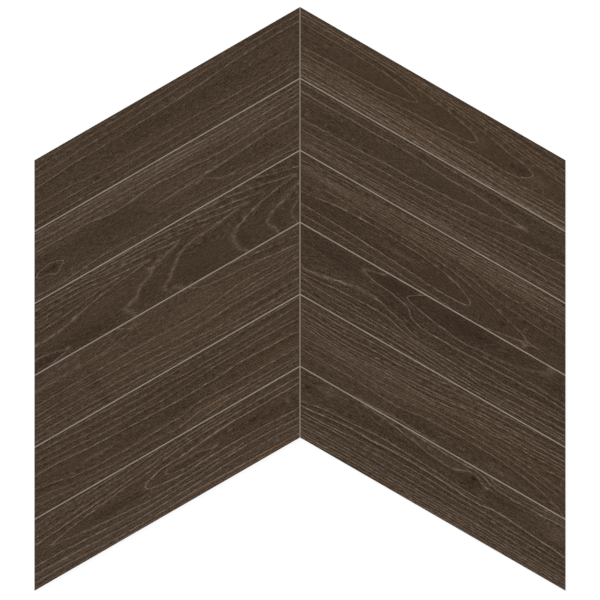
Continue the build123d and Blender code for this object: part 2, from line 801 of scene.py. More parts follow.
@dataclass(frozen=True)
class KeyedBack:
    """The grid of square pockets in a plank's back, in millimetres."""

    pocket: float = 21.0
    rib: float = 4.0
    depth: float = 0.5
    draft: float = 0.3

    @property
    def pitch(self) -> float:
        """The distance from pocket to pocket."""
        return self.pocket + self.rib

    def lines(self, count: int, pieces: int) -> np.ndarray:
        """Grid lines across a row of pockets, with one at the top and foot of each pocket wall.

        Args:
            count: how many pockets the row has.
            pieces: how many strips a pocket's floor has.

        Returns:
            The lines' positions about the row's middle, in order.
        """
        middles = (np.arange(count) - (count - 1) / 2) * self.pitch
        half = self.pocket / 2
        floor = np.linspace(self.draft - half, half - self.draft, pieces + 1)
        offsets = np.concatenate([[-half - self.rib / 2, -half], floor, [half]])
        return (middles[:, None] + offsets[None, :]).ravel()

    def inside(self, place: np.ndarray, count: int) -> np.ndarray:
        """Tells which positions lie over a pocket's floor, in a row of pockets about 0.

        Args:
            place: the positions.
            count: how many pockets the row has.

        Returns:
            True over a floor.
        """
        index = np.clip(np.round(place / self.pitch + (count - 1) / 2), 0, count - 1)
        middle = (index - (count - 1) / 2) * self.pitch
        return np.abs(place - middle) < self.pocket / 2 - self.draft / 2


@dataclass
class Plank:
    """One mitred plank, made at the place of its node.

    Attributes:
        node: the frame's node that it stands for.
        side: its column.
        print: its wood print.
        seed: what tells its fine noise from the other planks'.
        slope: the slope of its long sides.
        arris: the width of its eased edge.
        overrun: half the slab's length before it is sawn.
        rim: the least width of the rib along each long side.
        face_strips, wall_rows: the strips of its face, and the rows of points down a side.
        pockets_along, pockets_across, floor_strips: its back's pockets, and each one's strips.
        relief, relief_width: the brushed relief's depth, and the least half width of a ring in it.
        touch: how near the face's height counts as on the face.
        crease: the angle from which an edge is sharp.
        back: the keyed back.
    """

    node: str
    side: Side
    print: Print
    seed: int
    slope: float = math.radians(30.0)
    arris: float = 0.5
    overrun: float = 226.0
    rim: float = 0.5
    face_strips: int = 88
    wall_rows: int = 4
    pockets_along: int = 18
    pockets_across: int = 3
    floor_strips: tuple[int, int] = (8, 2)
    relief: float = 0.05
    relief_width: float = 0.9
    touch: float = 0.01
    crease: float = math.radians(20.0)
    back: KeyedBack = field(default_factory=KeyedBack)

    def __post_init__(self) -> None:
        """Works out the plank's size and middle from the frame's box of its node."""
        low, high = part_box(self.node)
        reach, height, self.thickness = ((high[k] - low[k]) / MM for k in range(3))
        rise = height - reach * math.tan(self.slope)
        self.length = reach / math.cos(self.slope)
        self.width = rise * math.cos(self.slope)
        self.middle = ((low + high) / 2 / MM)[:2]

    def profile(self) -> tuple[np.ndarray, np.ndarray]:
        """The section's outline, as Y and the share of height, from the face's upper edge round.

        Returns:
            Y across the plank, and Z with every pocket floor still level with the ribs.
        """
        half = self.width / 2
        face = np.linspace(half - self.arris, self.arris - half, self.face_strips + 1)
        wall = np.linspace(self.thickness - self.arris, 0, self.wall_rows)
        rows = self.back.lines(self.pockets_across, self.floor_strips[1])
        rows = rows[np.abs(rows) < half - self.rim]
        back = np.unique(np.concatenate([rows, [half - self.rim, self.rim - half]]))
        y = np.concatenate([face, -half + 0 * wall, back, half + 0 * wall])
        z = np.concatenate([self.thickness + 0 * face, wall, 0 * back, wall[::-1]])
        return y, z

    def slab(self) -> bmesh.types.BMesh:
        """The plank before its ends are sawn: the profile carried along X.

        Each point is (X of its column, Y and Z of its profile point), less a pocket's depth where
        both X and Y lie over a pocket's floor.

        Returns:
            The open-ended slab in the plank's own frame.
        """
        y, z = self.profile()
        columns = self.back.lines(self.pockets_along, self.floor_strips[0])
        columns = columns[np.abs(columns) < self.overrun - 2 * self.rim]
        x = np.concatenate([[-self.overrun], columns, [self.overrun]])
        grid_x, grid_y = np.meshgrid(x, y, indexing="ij")
        grid_z = np.broadcast_to(z, grid_x.shape).copy()
        pocket = (
            self.back.inside(grid_x, self.pockets_along)
            & self.back.inside(grid_y, self.pockets_across)
            & (grid_z == 0)
        )
        grid_z[pocket] = self.back.depth
        points = np.stack([grid_x, grid_y, grid_z], 2).reshape(-1, 3)
        many, around = grid_x.shape
        first = (np.arange(many - 1)[:, None] * around + np.arange(around)[None, :]).ravel()
        step = np.where((first + 1) % around == 0, 1 - around, 1)
        faces = np.stack([first, first + around, first + around + step, first + step], 1)
        mesh = bpy.data.meshes.new("slab")
        mesh.from_pydata(points, [], faces[:, ::-1])
        cut = bmesh.new()
        cut.from_mesh(mesh)
        bpy.data.meshes.remove(mesh)
        return cut

    def saw(self, cut: bmesh.types.BMesh) -> None:
        """Saws both ends upright along the mitre, eases their arris, and closes each cut.

        Args:
            cut: the slab, changed in place.
        """
        lean = -self.side.value * math.tan(self.slope)
        for end in (-1, 1):
            out = np.array([end, -end * lean, 0.0]) * math.cos(self.slope)
            on_end = np.array([end * self.length / 2, 0.0, self.thickness - self.arris])
            eased = (out + np.array([0, 0, 1.0])) / math.sqrt(2)
            for point, normal in ((on_end, out), (on_end, eased)):
                found = bmesh.ops.bisect_plane(
                    cut, geom=cut.verts[:] + cut.edges[:] + cut.faces[:], dist=1e-5,
                    plane_co=point, plane_no=normal, clear_outer=True,
                )
                edges = [item for item in found["geom_cut"] if isinstance(item, bmesh.types.BMEdge)]
                bmesh.ops.contextual_create(cut, geom=[edge for edge in edges if edge.is_boundary])

    def read_print(self, points: np.ndarray) -> dict[str, np.ndarray]:
        """Reads the print at the face's points.

        Args:
            points: X and Y on the plank.

        Returns:
            Every attribute that the finish reads, by name.
        """
        found = RingField(self.print.rings).at(points)
        found["pale"] *= self.print.strength
        for name, base, patches in (
            ("tone", self.print.ground, self.print.tones),
            ("warmth", 0.0, self.print.warmths),
            ("straight", self.print.straight, self.print.straights),
        ):
            found[name] = base + sum((patch.at(points) for patch in patches), 0 * points[:, 0])
        return found

    def build(self, finishes: tuple[bpy.types.Material, bpy.types.Material]) -> bpy.types.Object:
        """Makes the plank's piece and dresses it.

        Args:
            finishes: the print's material and the fired body's.

        Returns:
            The piece, riding on the frame.
        """
        cut = self.slab()
        self.saw(cut)
        mesh = bpy.data.meshes.new(self.node)
        cut.to_mesh(mesh)
        cut.free()
        count = len(mesh.vertices)
        points = np.empty(count * 3, np.float32)
        mesh.vertices.foreach_get("co", points)
        points = points.reshape(-1, 3).astype(float)
        on_face = points[:, 2] > self.thickness - self.arris - self.touch
        values = self.read_print(points[on_face, :2])
        for name, value in values.items():
            whole = np.ones(count, np.float32)
            whole[on_face] = value
            mesh.attributes.new(name, "FLOAT", "POINT").data.foreach_set("value", whole)
        grain = (points * MM).astype(np.float32)
        grain[:, 2] = self.seed
        mesh.attributes.new("grain", "FLOAT_VECTOR", "POINT").data.foreach_set("vector", grain.ravel())
        points[on_face, 2] -= self.worn(values)
        mesh.vertices.foreach_set("co", (self.placed(points) * MM).astype(np.float32).ravel())
        mesh.update()
        self.dress(mesh, finishes)
        piece = bpy.data.objects.new(f"tile_{self.node}", mesh)
        bpy.context.scene.collection.objects.link(piece)
        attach(piece, BODY)
        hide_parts(self.node)
        return piece

    def worn(self, values: dict[str, np.ndarray]) -> np.ndarray:
        """The depth of the brushed relief: ring lines stand up and the ground between is lower.

        Args:
            values: the print's attributes on the face.

        Returns:
            The depth below the face, in millimetres: the relief less a bell curve of the distance
            from the nearest ring, times how pale it is.
        """
        ring = values["ring"]
        off = (ring - np.round(ring)) * values["spacing"] / np.maximum(values["width"], self.relief_width)
        return self.relief * (1 - np.clip(values["pale"], 0, 1) * np.exp(-(off**2)))

    def placed(self, points: np.ndarray) -> np.ndarray:
        """Turns points from the plank's own frame into the sheet's.

        Args:
            points: X, Y and Z, in millimetres.

        Returns:
            The turned points.
        """
        angle = -self.side.value * self.slope
        cos, sin = math.cos(angle), math.sin(angle)
        x = self.middle[0] + points[:, 0] * cos - points[:, 1] * sin
        y = self.middle[1] + points[:, 0] * sin + points[:, 1] * cos
        return np.stack([x, y, points[:, 2]], 1)

    def dress(self, mesh: bpy.types.Mesh, finishes: tuple[bpy.types.Material, bpy.types.Material]) -> None:
        """Gives the face its print and the other sides the fired body.

        Args:
            mesh: the plank's mesh.
            finishes: the print's material and the fired body's.
        """
        for finish in finishes:
            mesh.materials.append(finish)
        count = len(mesh.polygons)
        normals = np.empty(count * 3, np.float32)
        mesh.polygons.foreach_get("normal", normals)
        upward = normals.reshape(-1, 3)[:, 2] > 0.5
        mesh.polygons.foreach_set("material_index", np.where(upward, 0, 1).astype(np.int32))
        mesh.polygons.foreach_set("use_smooth", upward)
        mesh.update()
        mesh.set_sharp_from_angle(angle=self.crease)


PRINTS = {
    "plank_left_1": Print(
        rings=(
            Ring(0, ((-178, 34.8), (-150, 35.3), (-110, 36), (-60, 36.8)), 0.4),
            Ring(1, ((-183, 28), (-165, 29), (-140, 29.3), (-110, 30.2), (-80, 31.3), (-60, 32), (-30, 32.7),
                (0, 33.5), (30, 34.8), (60, 35.2), (110, 35.8)), 0.5),
            Ring(2, ((-187, 19.3), (-165, 19.5), (-140, 20.7), (-110, 22), (-90, 22), (-60, 23), (-40, 24),
                (-20, 25.3), (0, 26), (20, 27), (50, 28.5), (65, 29.3), (90, 29.5), (110, 30.5), (140, 32),
                (160, 32.5), (190, 33), (215, 32.5)), 0.55),
            Ring(3, ((-193, 7), (-175, 8), (-160, 9), (-145, 10.2), (-130, 11.5), (-110, 11), (-95, 11),
                (-80, 12), (-60, 12.7), (-40, 13.6), (-20, 14), (0, 14.1), (20, 15), (40, 16), (60, 17),
                (80, 19.3), (100, 20.8), (120, 22.5), (140, 23.6), (160, 24), (215, 24.6)), 0.75),
            Ring(5, ((-203, -12.7), (-160, -12.7), (-140, -13.7), (-125, -15), (-110, -16), (-80, -15.8),
                (-40, -15.5), (0, -15.2), (60, -15.4), (90, -16.3), (130, -16.7), (158, -16.3)), 0.6),
            Ring(6, ((-213, -24), (-190, -24.3), (-140, -24.3), (-110, -25), (-40, -25), (0, -25.3),
                (40, -24.7), (100, -25), (140, -24.5), (188, -24.3)), 0.6),
            Ring(7, ((-218, -34.5), (-150, -34.3), (-120, -35.2), (-100, -35.8), (-80, -35.5), (-60, -34.8),
                (0, -34), (30, -33.3), (60, -33), (140, -33), (180, -31.8)), 0.6),
        ),
        tones=(
            Patch(20, 3, 170, 8, -3.5), Patch(95, 2, 30, 4, -2.5), Patch(-45, 6, 12, 4, -3),
            Patch(-5, 2, 14, 4, -2),
            Patch(-118, -20, 7, 3, -6), Patch(-118, -21, 2, 1.5, -14), Patch(-50, 9.5, 2, 1.5, -10),
            Patch(40, -23, 130, 10, 1), Patch(35, 18, 22, 1.5, 4), Patch(-107, -1, 8, 1, 6),
            Patch(-180, -4, 12, 1, 4),
            Patch(160, -4, 12, 1.5, 4), Patch(72, 2, 8, 3, 4), Patch(-22, 0, 14, 1, 4),
            Patch(137, 29, 4, 2, -6),
        ),
        ground=0.8,
        straight=0.9,
        strength=0.95,
    ),
    "plank_left_2": Print(
        rings=(
            Ring(0, ((-178, 37), (-60, 36.8), (0, 36), (40, 35.2), (60, 34), (80, 33.2), (150, 33),
                (180, 34), (218, 34.5)), 0.65),
            Ring(1, ((-180, 33), (-60, 32.3), (0, 31.3), (60, 29.5), (100, 28.8), (160, 28.3),
                (210, 29.5)), 0.4),
            Ring(2, ((-182, 28.3), (-165, 27.3), (-140, 26.5), (-100, 27), (-60, 26.6), (0, 26.2),
                (40, 26.5), (55, 26)), 0.7),
            Ring(2, ((85, 23.3), (110, 23.4), (130, 24), (160, 24.4), (190, 24), (212, 24.5)), 0.65),
            Ring(3, ((-187, 20.5), (-100, 21), (0, 20.5), (60, 19.5), (100, 17.5), (210, 18)), 0.35),
            Ring(4, ((-190, 16), (-160, 16), (-130, 15.6), (-110, 15), (-100, 14), (-92, 12.5), (-80, 11),
                (-70, 10.8), (-55, 11.5), (-40, 12.8), (-30, 13.8), (-10, 15), (-4, 15.3), (5, 14), (20, 13),
                (40, 12.5), (50, 11.5), (62, 9.7), (75, 9.2), (110, 9.2), (130, 10), (150, 11.8),
                (170, 12.6), (205, 13.2)), 0.8, 0.9),
            Ring(5, ((-30, -5.3), (-18, -4), (-5, -2.2), (10, -1.8), (35, -1.4)), 0.4),
            Ring(6, ((-18, -8.5), (0, -8.5), (15, -8), (30, -7.3), (45, -6.3), (60, -5.3),
                (75, -4.8)), 0.55, 1.5),
            Ring(6, ((78, -4.9), (90, -4.6), (100, -3.7), (110, -2.6), (120, -2.4), (130, -1.4), (150, -0.1),
                (165, 0.4), (200, 0)), 0.75, 0.9),
            Ring(7, ((46, -9), (52, -10.5), (57, -13), (62, -16.5), (69, -19.3), (76, -21.3),
                (86, -22.5)), 0.5, 1.2, 2.0),
            Ring(8, ((100, -26.5), (115, -27.5), (140, -27.8), (165, -27.5), (185, -26)), 0.55),
            Ring(9, ((-216, -34), (-195, -35.5), (-180, -36), (-165, -34.8), (-150, -33.5), (-130, -31.7),
                (-110, -30.8), (-60, -31.3), (-20, -31), (0, -30.3), (20, -30.8), (40, -32), (60, -33),
                (90, -33.5), (140, -33), (160, -34.5), (178, -36.5)), 0.65),
            Ring(9, ((-200, -9), (-190, -7), (-178, -5.5), (-170, -7), (-165, -9.5), (-162, -11.5),
                (-166, -14), (-171, -17), (-175, -20.5), (-180, -21.5), (-184, -19.5), (-190, -16.5),
                (-200, -16), (-204, -13.5), (-202, -10.5), (-200, -9)), 0.8, 0.8, 0.6),
            Ring(9.7, ((-194, -11.5), (-184, -12), (-174, -12.5)), 0.0),
            Ring(8.4, ((-212, -26), (-185, -28), (-155, -26)), 0.0),
            Ring(6.5, ((-145, -8), (-100, -10)), 0.0),
        ),
        tones=(
            Patch(-40, 29, 200, 11, 5.5), Patch(36, 33, 36, 8, 8), Patch(160, 27, 60, 9, 3),
            Patch(-110, -5, 95, 15, -5.5),
            Patch(130, -14, 70, 7, -4), Patch(20, -8, 30, 3, 2), Patch(150, 12, 60, 3, 2),
            Patch(-196, -9, 2.4, 1.8, -20),
            Patch(-177, -12, 3, 2.6, -20), Patch(-187, -13, 8, 3, -6), Patch(-185, 6, 14, 5, -5),
            Patch(-84, 14.5, 12, 2.2, 5),
            Patch(10, 4, 50, 5, 3), Patch(-186, -12, 12, 5, -2),
        ),
        warmths=(Patch(0, 0, 300, 90, -0.1),),
        straights=(Patch(-100, -5, 100, 14, -0.5), Patch(0, 28, 200, 12, 0.4)),
        ground=2.3,
    ),
    "plank_left_3": Print(
        rings=(
            Ring(-1, ((152, 40), (160, 38), (170, 34), (180, 31), (200, 26.5), (214, 23.5)), 0.45, 1.0),
            Ring(0, ((70, 39), (80, 36.8), (100, 35.5), (120, 33.5), (140, 30), (160, 26), (180, 21.5),
                (197, 18.5)), 0.6, 0.8),
            Ring(1, ((-72, 38.3), (-40, 38), (0, 37.5), (20, 36.4), (40, 35), (60, 32.5), (80, 30),
                (100, 27.5), (120, 24.5), (140, 21), (155, 18.5)), 0.75, 0.8),
            Ring(2, ((-90, 34.8), (-60, 34), (-30, 33.5), (0, 32.3), (20, 30.6), (40, 28.5), (60, 26),
                (80, 22.7), (100, 20), (120, 17.7), (134, 16)), 0.65),
            Ring(3, ((-178, 36.3), (-140, 36), (-110, 35), (-95, 33.3), (-80, 31.2), (-60, 30.3),
                (-40, 29.5), (-20, 28.7), (0, 27.3), (20, 25.6), (40, 23.5), (55, 21.2), (68, 18.5)), 0.6),
            Ring(4, ((-180, 31.5), (-140, 31), (-120, 30.5), (-100, 29.3), (-90, 28), (-80, 26.6),
                (-60, 25.3), (-40, 24.7), (-20, 23.5), (0, 21.2), (15, 18.9), (28, 17.6)), 0.75),
            Ring(5, ((-183, 23), (-165, 24.5), (-150, 25), (-130, 24.5), (-110, 24), (-95, 23), (-85, 21.5),
                (-75, 20), (-60, 18.5), (-45, 17.5)), 0.65),
            Ring(6, ((-187, 18.5), (-150, 18.8), (-120, 18.3), (-95, 17.5)), 0.45),
            Ring(7, ((-191, 13.8), (-175, 14), (-160, 14), (-150, 13.5)), 0.5),
            Ring(6, ((-186, 5), (-170, 5.7), (-150, 7.3), (-130, 9.3), (-110, 11.7), (-90, 13.8), (-75, 15),
                (-62, 15.6)), 0.6, 0.8, 1.2),
            Ring(5, ((-206, -8.5), (-190, -8.5), (-175, -8), (-160, -6.5), (-150, -4.8), (-140, -2.5),
                (-130, -0.2)), 0.6, 1.9, 2.5),
            Ring(5, ((-128, 0.2), (-120, 1.8), (-110, 3.8), (-90, 7), (-70, 9.6), (-50, 11.5), (-30, 13.5),
                (-15, 14.8)), 0.6, 0.9, 1.6),
            Ring(4, ((28, 16), (15, 13.3), (5, 10.8), (-4, 8.5), (-14, 5.3), (-22, 1.5), (-26, -2.5),
                (-34, -6), (-44, -9), (-50, -13), (-54, -17.5), (-64, -20.8)), 0.5, 2.2, 4.0),
            Ring(4, ((-64, -20.8), (-73, -23.7), (-77, -26.5), (-74, -30), (-70, -34),
                (-69, -39.5)), 0.45, 3.0, 4.0),
            Ring(3, ((75, 15), (40, 12), (5, 3), (-10, -10), (-35, -26), (-40, -32), (-35, -38)), 0.0),
            Ring(2, ((112, 14.7), (90, 12), (70, 10.4), (50, 9), (38, 7.3), (28, 4.8), (20, 1), (13, -4),
                (6, -9), (0, -14), (-6, -19.5), (-13, -23.5)), 0.5, 2.1, 4.0),
            Ring(2, ((-13, -23.5), (-18, -26.5), (-17, -29.5), (-10, -32), (-3, -34), (1, -37),
                (3, -39.5)), 0.45, 3.0, 4.0),
            Ring(1, ((150, 13), (120, 9), (90, 2), (60, -8), (45, -20), (45, -38)), 0.0),
            Ring(0, ((205, 15.5), (185, 13.8), (160, 10), (140, 6), (120, 0.5), (110, -3.5),
                (104, -6)), 0.6, 1.2, 3.0),
            Ring(0, ((104, -6), (97.5, -9.7), (93, -13.5), (91.5, -17), (91, -24), (92, -30), (96, -35),
                (100, -39.5)), 0.45, 3.0, 4.0),
            Ring(-1, ((203, 4), (185, 0), (175, -4), (165, -7.5), (155, -11), (147, -15), (141, -18.5),
                (140, -22), (143, -26), (146, -30), (146, -35), (148, -39.5)), 0.45, 2.1, 3.0),
            Ring(-2, ((196, -9), (188, -15), (180, -20), (175, -23), (173, -28), (174, -34),
                (175, -39.5)), 0.4, 1.4, 3.0),
            Ring(4, ((-214, -25), (-205, -24.6), (-195, -26), (-185, -28), (-177, -30.5), (-166, -32),
                (-174, -34), (-185, -36.5), (-196, -38.5)), 0.55, 1.2, 2.5),
            Ring(4.5, ((-150, -39), (-135, -28), (-120, -17), (-100, -12)), 0.0),
            Ring(3.4, ((-214, -33), (-200, -32.5), (-188, -32.3)), 0.0),
        ),
        tones=(
            Patch(-120, 22, 60, 12, 2), Patch(-95, -5, 32, 9, 3), Patch(-202, -32.5, 20, 4, -9),
            Patch(-140, -30, 50, 9, -6),
            Patch(20, -25, 40, 12, -3), Patch(103, -22, 8, 14, -6), Patch(155, -27, 6, 10, -4),
            Patch(170, 4, 50, 9, -2),
            Patch(60, 32, 160, 8, 2), Patch(-45, -22, 14, 8, -3), Patch(67, 18, 9, 2, 8),
            Patch(-62, 17.5, 18, 1.5, 4),
            Patch(-105, 16.3, 10, 1.2, 5), Patch(-190, 12, 24, 5, 2), Patch(135, 33, 16, 6, 6),
            Patch(95, 2, 4, 4, -5),
        ),
        warmths=(Patch(-95, -5, 30, 9, 0.5), Patch(-205, -30, 40, 12, -0.5), Patch(100, 0, 200, 90, -0.15)),
        straights=(
            Patch(40, -20, 130, 16, -0.7), Patch(-120, -14, 60, 12, -0.4), Patch(0, 30, 200, 10, 0.2),
        ),
        ground=-0.6,
        strength=1.15,
    ),
    "plank_left_4": Print(
        rings=(
            Ring(0, ((125, 38.5), (140, 36.5), (160, 34), (180, 31), (200, 29), (213, 27.5)), 0.65, 0.8),
            Ring(1, ((58, 38), (63, 34.5), (70, 31.7), (80, 30), (100, 27.5), (120, 26.5), (140, 24.8),
                (160, 23), (180, 20.5), (200, 18.5), (210, 17)), 0.65, 0.9),
            Ring(2, ((-186, 21), (-160, 21), (-140, 21.3), (-110, 21.7), (-80, 22), (-70, 23), (-60, 24.3),
                (-50, 25.5), (-40, 27.5), (-35, 29.3), (-38, 32), (-43, 34.5), (-50, 38.5)), 0.6, 0.8),
            Ring(2.5, ((-18, 38), (-5, 30), (20, 25)), 0.0),
            Ring(3, ((-188, 18.5), (-150, 18.5), (-100, 19), (-80, 18.7), (-60, 18)), 0.4),
            Ring(4, ((-195, 4.5), (-170, 4.7), (-140, 5), (-60, 5.2), (-40, 4.8), (-20, 4.8), (0, 4),
                (20, 3.5), (58, 3.5), (65, 4.3), (80, 6.5), (100, 9), (117, 11), (140, 10.5), (170, 9.7),
                (200, 9.5)), 0.6),
            Ring(5, ((108, 1.5), (130, 2), (160, 2.4), (195, 3)), 0.55),
            Ring(6, ((78, -3), (110, -3.3), (140, -3), (192, -3.5)), 0.5),
            Ring(7, ((-203, -7), (-180, -6.8), (-160, -6), (-130, -5.7), (-100, -6.5), (-60, -7), (-40, -8),
                (-20, -9.5), (0, -10.3), (30, -11), (60, -10.7), (80, -9.3), (110, -8.6), (140, -8.5),
                (190, -8)), 0.65),
            Ring(8, ((-205, -16.5), (-190, -16), (-160, -15.5), (-120, -16), (-60, -16), (-40, -16.8),
                (-20, -17.6), (0, -19.6), (20, -21), (40, -22.2), (62, -24.7)), 0.6),
            Ring(8, ((84, -21), (100, -20.5), (120, -20.8), (140, -21.3), (160, -21), (187, -21.5)), 0.6),
            Ring(9, ((-210, -20.5), (-190, -20), (-160, -20.5), (-120, -21), (-80, -21.3), (-60, -21.6),
                (-40, -22.7), (-20, -24), (0, -25.3), (20, -26), (40, -27), (60, -28), (80, -29), (110, -30),
                (140, -31), (181, -31)), 0.65),
            Ring(10, ((-214, -29), (-190, -28.7), (-150, -28.5), (-100, -29.3), (-70, -30), (-40, -30.7),
                (-20, -31.5), (0, -33), (20, -34.5), (50, -35), (80, -35.7), (120, -36.2), (179, -36)), 0.6),
            Ring(11, ((-218, -36), (-190, -35.5), (-160, -34.7), (-130, -35), (-100, -35), (-60, -35.6),
                (-40, -37), (-20, -38), (0, -38.6)), 0.55),
        ),
        tones=(
            Patch(-111, -8, 8, 24, -6.5), Patch(-113, -34, 7, 5, -7), Patch(185, 29, 30, 2.5, -6),
            Patch(130, -14, 60, 4, -5),
            Patch(-50, 31, 13, 3, -6), Patch(-30, 31, 8, 7, 4), Patch(-150, 33, 30, 3, 3),
            Patch(40, 8, 80, 14, 1),
            Patch(-48, 16.3, 9, 1.2, 5), Patch(55, 24, 7, 1.2, 6), Patch(-75, 0, 30, 10, 1),
            Patch(0, -2, 60, 5, 2), Patch(-33, 33, 6, 4, 8),
            Patch(-180, 0, 42, 34, -3), Patch(60, -2, 90, 22, 1.5),
        ),
        warmths=(Patch(0, 0, 200, 60, 0.15),),
        ground=3.4,
    ),
    "plank_left_5": Print(
        rings=(
            Ring(0, ((-130, 37.3), (-100, 36.8), (-60, 35.8), (-20, 35.2), (0, 34.8), (60, 35), (110, 35),
                (130, 35.8), (150, 37), (218, 37.7)), 0.5),
            Ring(1, ((-180, 33.5), (-165, 33), (-145, 32), (-130, 31), (-110, 29.8), (-90, 28.2), (-55, 28),
                (-20, 27), (10, 27.2), (30, 26), (45, 25), (65, 25.3), (75, 26), (90, 25.2), (110, 25.3),
                (130, 25.8), (150, 26.7), (165, 28), (190, 28.6), (216, 29)), 0.6),
            Ring(2, ((-186, 24.6), (-170, 24), (-150, 23.5), (-130, 22.8), (-110, 21), (-90, 20.3),
                (-70, 19.5), (-50, 18.8), (0, 18.5), (20, 18.8), (40, 19.5), (50, 20), (75, 19.7),
                (115, 19.5)), 0.6),
            Ring(2, ((118, 19.5), (160, 20), (210, 20.3)), 0.3),
            Ring(3, ((-190, 18), (-170, 17), (-150, 16), (-130, 15.3), (-115, 14.3), (-100, 12.8),
                (-80, 12.2), (-60, 11.5), (-20, 11.2), (0, 10.8), (15, 11.3), (30, 11.7), (50, 12.7),
                (75, 14), (90, 14.7), (130, 15), (145, 16), (180, 15.8), (190, 15), (207, 13.5)), 0.6),
            Ring(4, ((-197, 7.5), (-180, 8), (-160, 7.7), (-145, 7), (-130, 5.7), (-120, 4.7), (-100, 4),
                (-80, 3.2), (-60, 2.2), (-40, 1.7), (-20, 0.9), (0, 0), (20, -0.3), (40, -0.3), (50, 0.3),
                (80, 0.8), (95, 2), (110, 2.8), (130, 2.6), (145, 1.7), (180, 1.3), (190, 0.3),
                (200, -0.8)), 0.85, 0.8),
            Ring(6, ((-202, -7), (-190, -9.5), (-180, -11), (-170, -13), (-160, -15.5), (-150, -17.5),
                (-135, -19), (-115, -20.7), (-90, -21), (-60, -21.5), (-20, -20.5), (8, -20.3), (20, -18.9),
                (30, -16.7), (40, -15.5), (55, -15.4), (70, -16.4), (90, -17), (110, -17.5), (140, -17.9),
                (188, -17.8)), 0.65),
            Ring(7, ((-207, -18), (-195, -19.5), (-180, -21.5), (-165, -24.5), (-150, -26), (-130, -27.7),
                (-110, -29.3), (-90, -30.3), (-40, -30.2), (-10, -31), (5, -30.7), (20, -28.5), (30, -27),
                (45, -26), (68, -26), (80, -27.3), (125, -27), (185, -27.5)), 0.55),
            Ring(8, ((-212, -25), (-200, -26.8), (-185, -28.8), (-165, -31), (-150, -32.3), (-130, -33.8),
                (-100, -35.3), (-60, -37)), 0.5),
            Ring(8, ((12, -38.2), (30, -36.3), (45, -34.5), (60, -33), (77, -30.8)), 0.6),
            Ring(8, ((84, -32), (105, -31.3), (130, -32), (183, -32)), 0.6),
            Ring(9, ((128, -36), (180, -36)), 0.45),
            Ring(9, ((-200, -35), (-160, -37)), 0.4),
        ),
        tones=(
            Patch(-45, 7, 16, 4, -5), Patch(-72, 7, 9, 1, 7), Patch(-15, 24, 22, 4, -3),
            Patch(8, -8, 28, 5, -6),
            Patch(92, -7, 8, 1.5, -10), Patch(-120, -7.3, 12, 2.2, 14), Patch(-99, -8, 12, 1.8, 14),
            Patch(60, -22, 40, 5, 3),
            Patch(110, -31, 90, 7, 2), Patch(158, -13, 34, 5, 7), Patch(-150, -8, 60, 9, -1.5),
            Patch(0, 14, 90, 9, -2), Patch(0, -31, 240, 7, 1.5), Patch(60, -27, 24, 4, 3),
            Patch(68, -5.3, 16, 0.8, 5),
        ),
        warmths=(
            Patch(58, -27, 18, 2.5, 1.2), Patch(8, -8, 20, 5, -0.5), Patch(-45, 7, 16, 5, -0.5),
            Patch(140, -5, 60, 8, 0.5),
        ),
        straights=(Patch(-150, -4, 50, 8, -0.5),),
        ground=0.6,
        strength=1.1,
    ),
    "plank_left_6": Print(
        rings=(
            Ring(0, ((-175, 33), (-160, 34), (-140, 35), (-120, 35.3), (-80, 36.5), (-60, 37.5),
                (-45, 38.5)), 0.6),
            Ring(1, ((-182, 26.7), (-165, 27.5), (-145, 28.7), (-130, 29.5), (-110, 30.5), (-90, 30.8),
                (-70, 31.7), (-50, 32.5), (-30, 34.5), (-10, 36.5), (5, 38)), 0.55),
            Ring(2, ((-187, 19.3), (-170, 20), (-150, 21), (-135, 22), (-120, 23.3), (-100, 24.2),
                (-80, 25.5), (-60, 26.8), (-45, 27.4), (-30, 28.5), (-10, 30.3), (0, 31.7), (10, 33),
                (25, 34), (55, 35), (70, 36), (110, 36.8), (125, 38)), 0.6),
            Ring(3, ((-193, 11), (-180, 11.7), (-160, 13.3), (-140, 15), (-120, 16.5), (-100, 18.2),
                (-80, 19.7), (-60, 21.5), (-40, 23), (-20, 24.6), (0, 27), (10, 28.2), (25, 29.5),
                (45, 30.5), (76, 32)), 0.7),
            Ring(4, ((217, 29.5), (180, 29.7), (160, 30), (140, 29.3), (120, 28.8), (80, 28.4), (60, 27.7),
                (40, 26.6), (25, 25.6), (10, 23.4), (0, 21.8), (-10, 20.3), (-20, 19.3), (-40, 17.8),
                (-60, 16.8), (-80, 14.7), (-100, 12.5), (-115, 10.7), (-130, 9), (-145, 6.5), (-160, 3.2),
                (-174, 1), (-163, -1.3), (-155, -2), (-145, -3.5), (-130, -5), (-110, -7), (-90, -9),
                (-70, -10.5), (-50, -12), (-40, -13), (-20, -13.3), (0, -12.8), (20, -11.5), (40, -11),
                (80, -10.5), (95, -10.5)), 0.7, 0.8),
            Ring(4.4, ((-130, 2), (-80, 3), (-50, 5)), 0.0),
            Ring(5, ((213, 23), (190, 22), (110, 22), (90, 21), (70, 19.5), (50, 17.5), (30, 16), (15, 15.8),
                (0, 14.7), (-10, 12.8), (-20, 10), (-26, 8), (-29.5, 5), (-29, 2.5), (-25, 0), (-18, -1),
                (-10, -2), (0, -3.2), (10, -4), (20, -4.7), (30, -4.7), (45, -3.7), (60, -3), (80, -2.3),
                (110, -2.3), (140, -3), (160, -4), (180, -5.2), (202, -5.8)), 0.85, 0.9),
            Ring(6, ((80, 5), (70, 5.3), (60, 8), (52, 10.3), (40, 10), (20, 10.3), (8, 10.3), (3, 7.5),
                (7, 3.5), (16, 2.2), (22, 0.8), (35, 0.3), (50, 0.7), (60, 1.5), (66, 2)), 0.55),
            Ring(3, ((-206, -13), (-165, -13.3), (-150, -14.3), (-135, -15.3), (-110, -16.2), (-90, -17.3),
                (-70, -18.2), (-50, -19), (-20, -19), (0, -18.3), (20, -18), (40, -17.2), (60, -15.5),
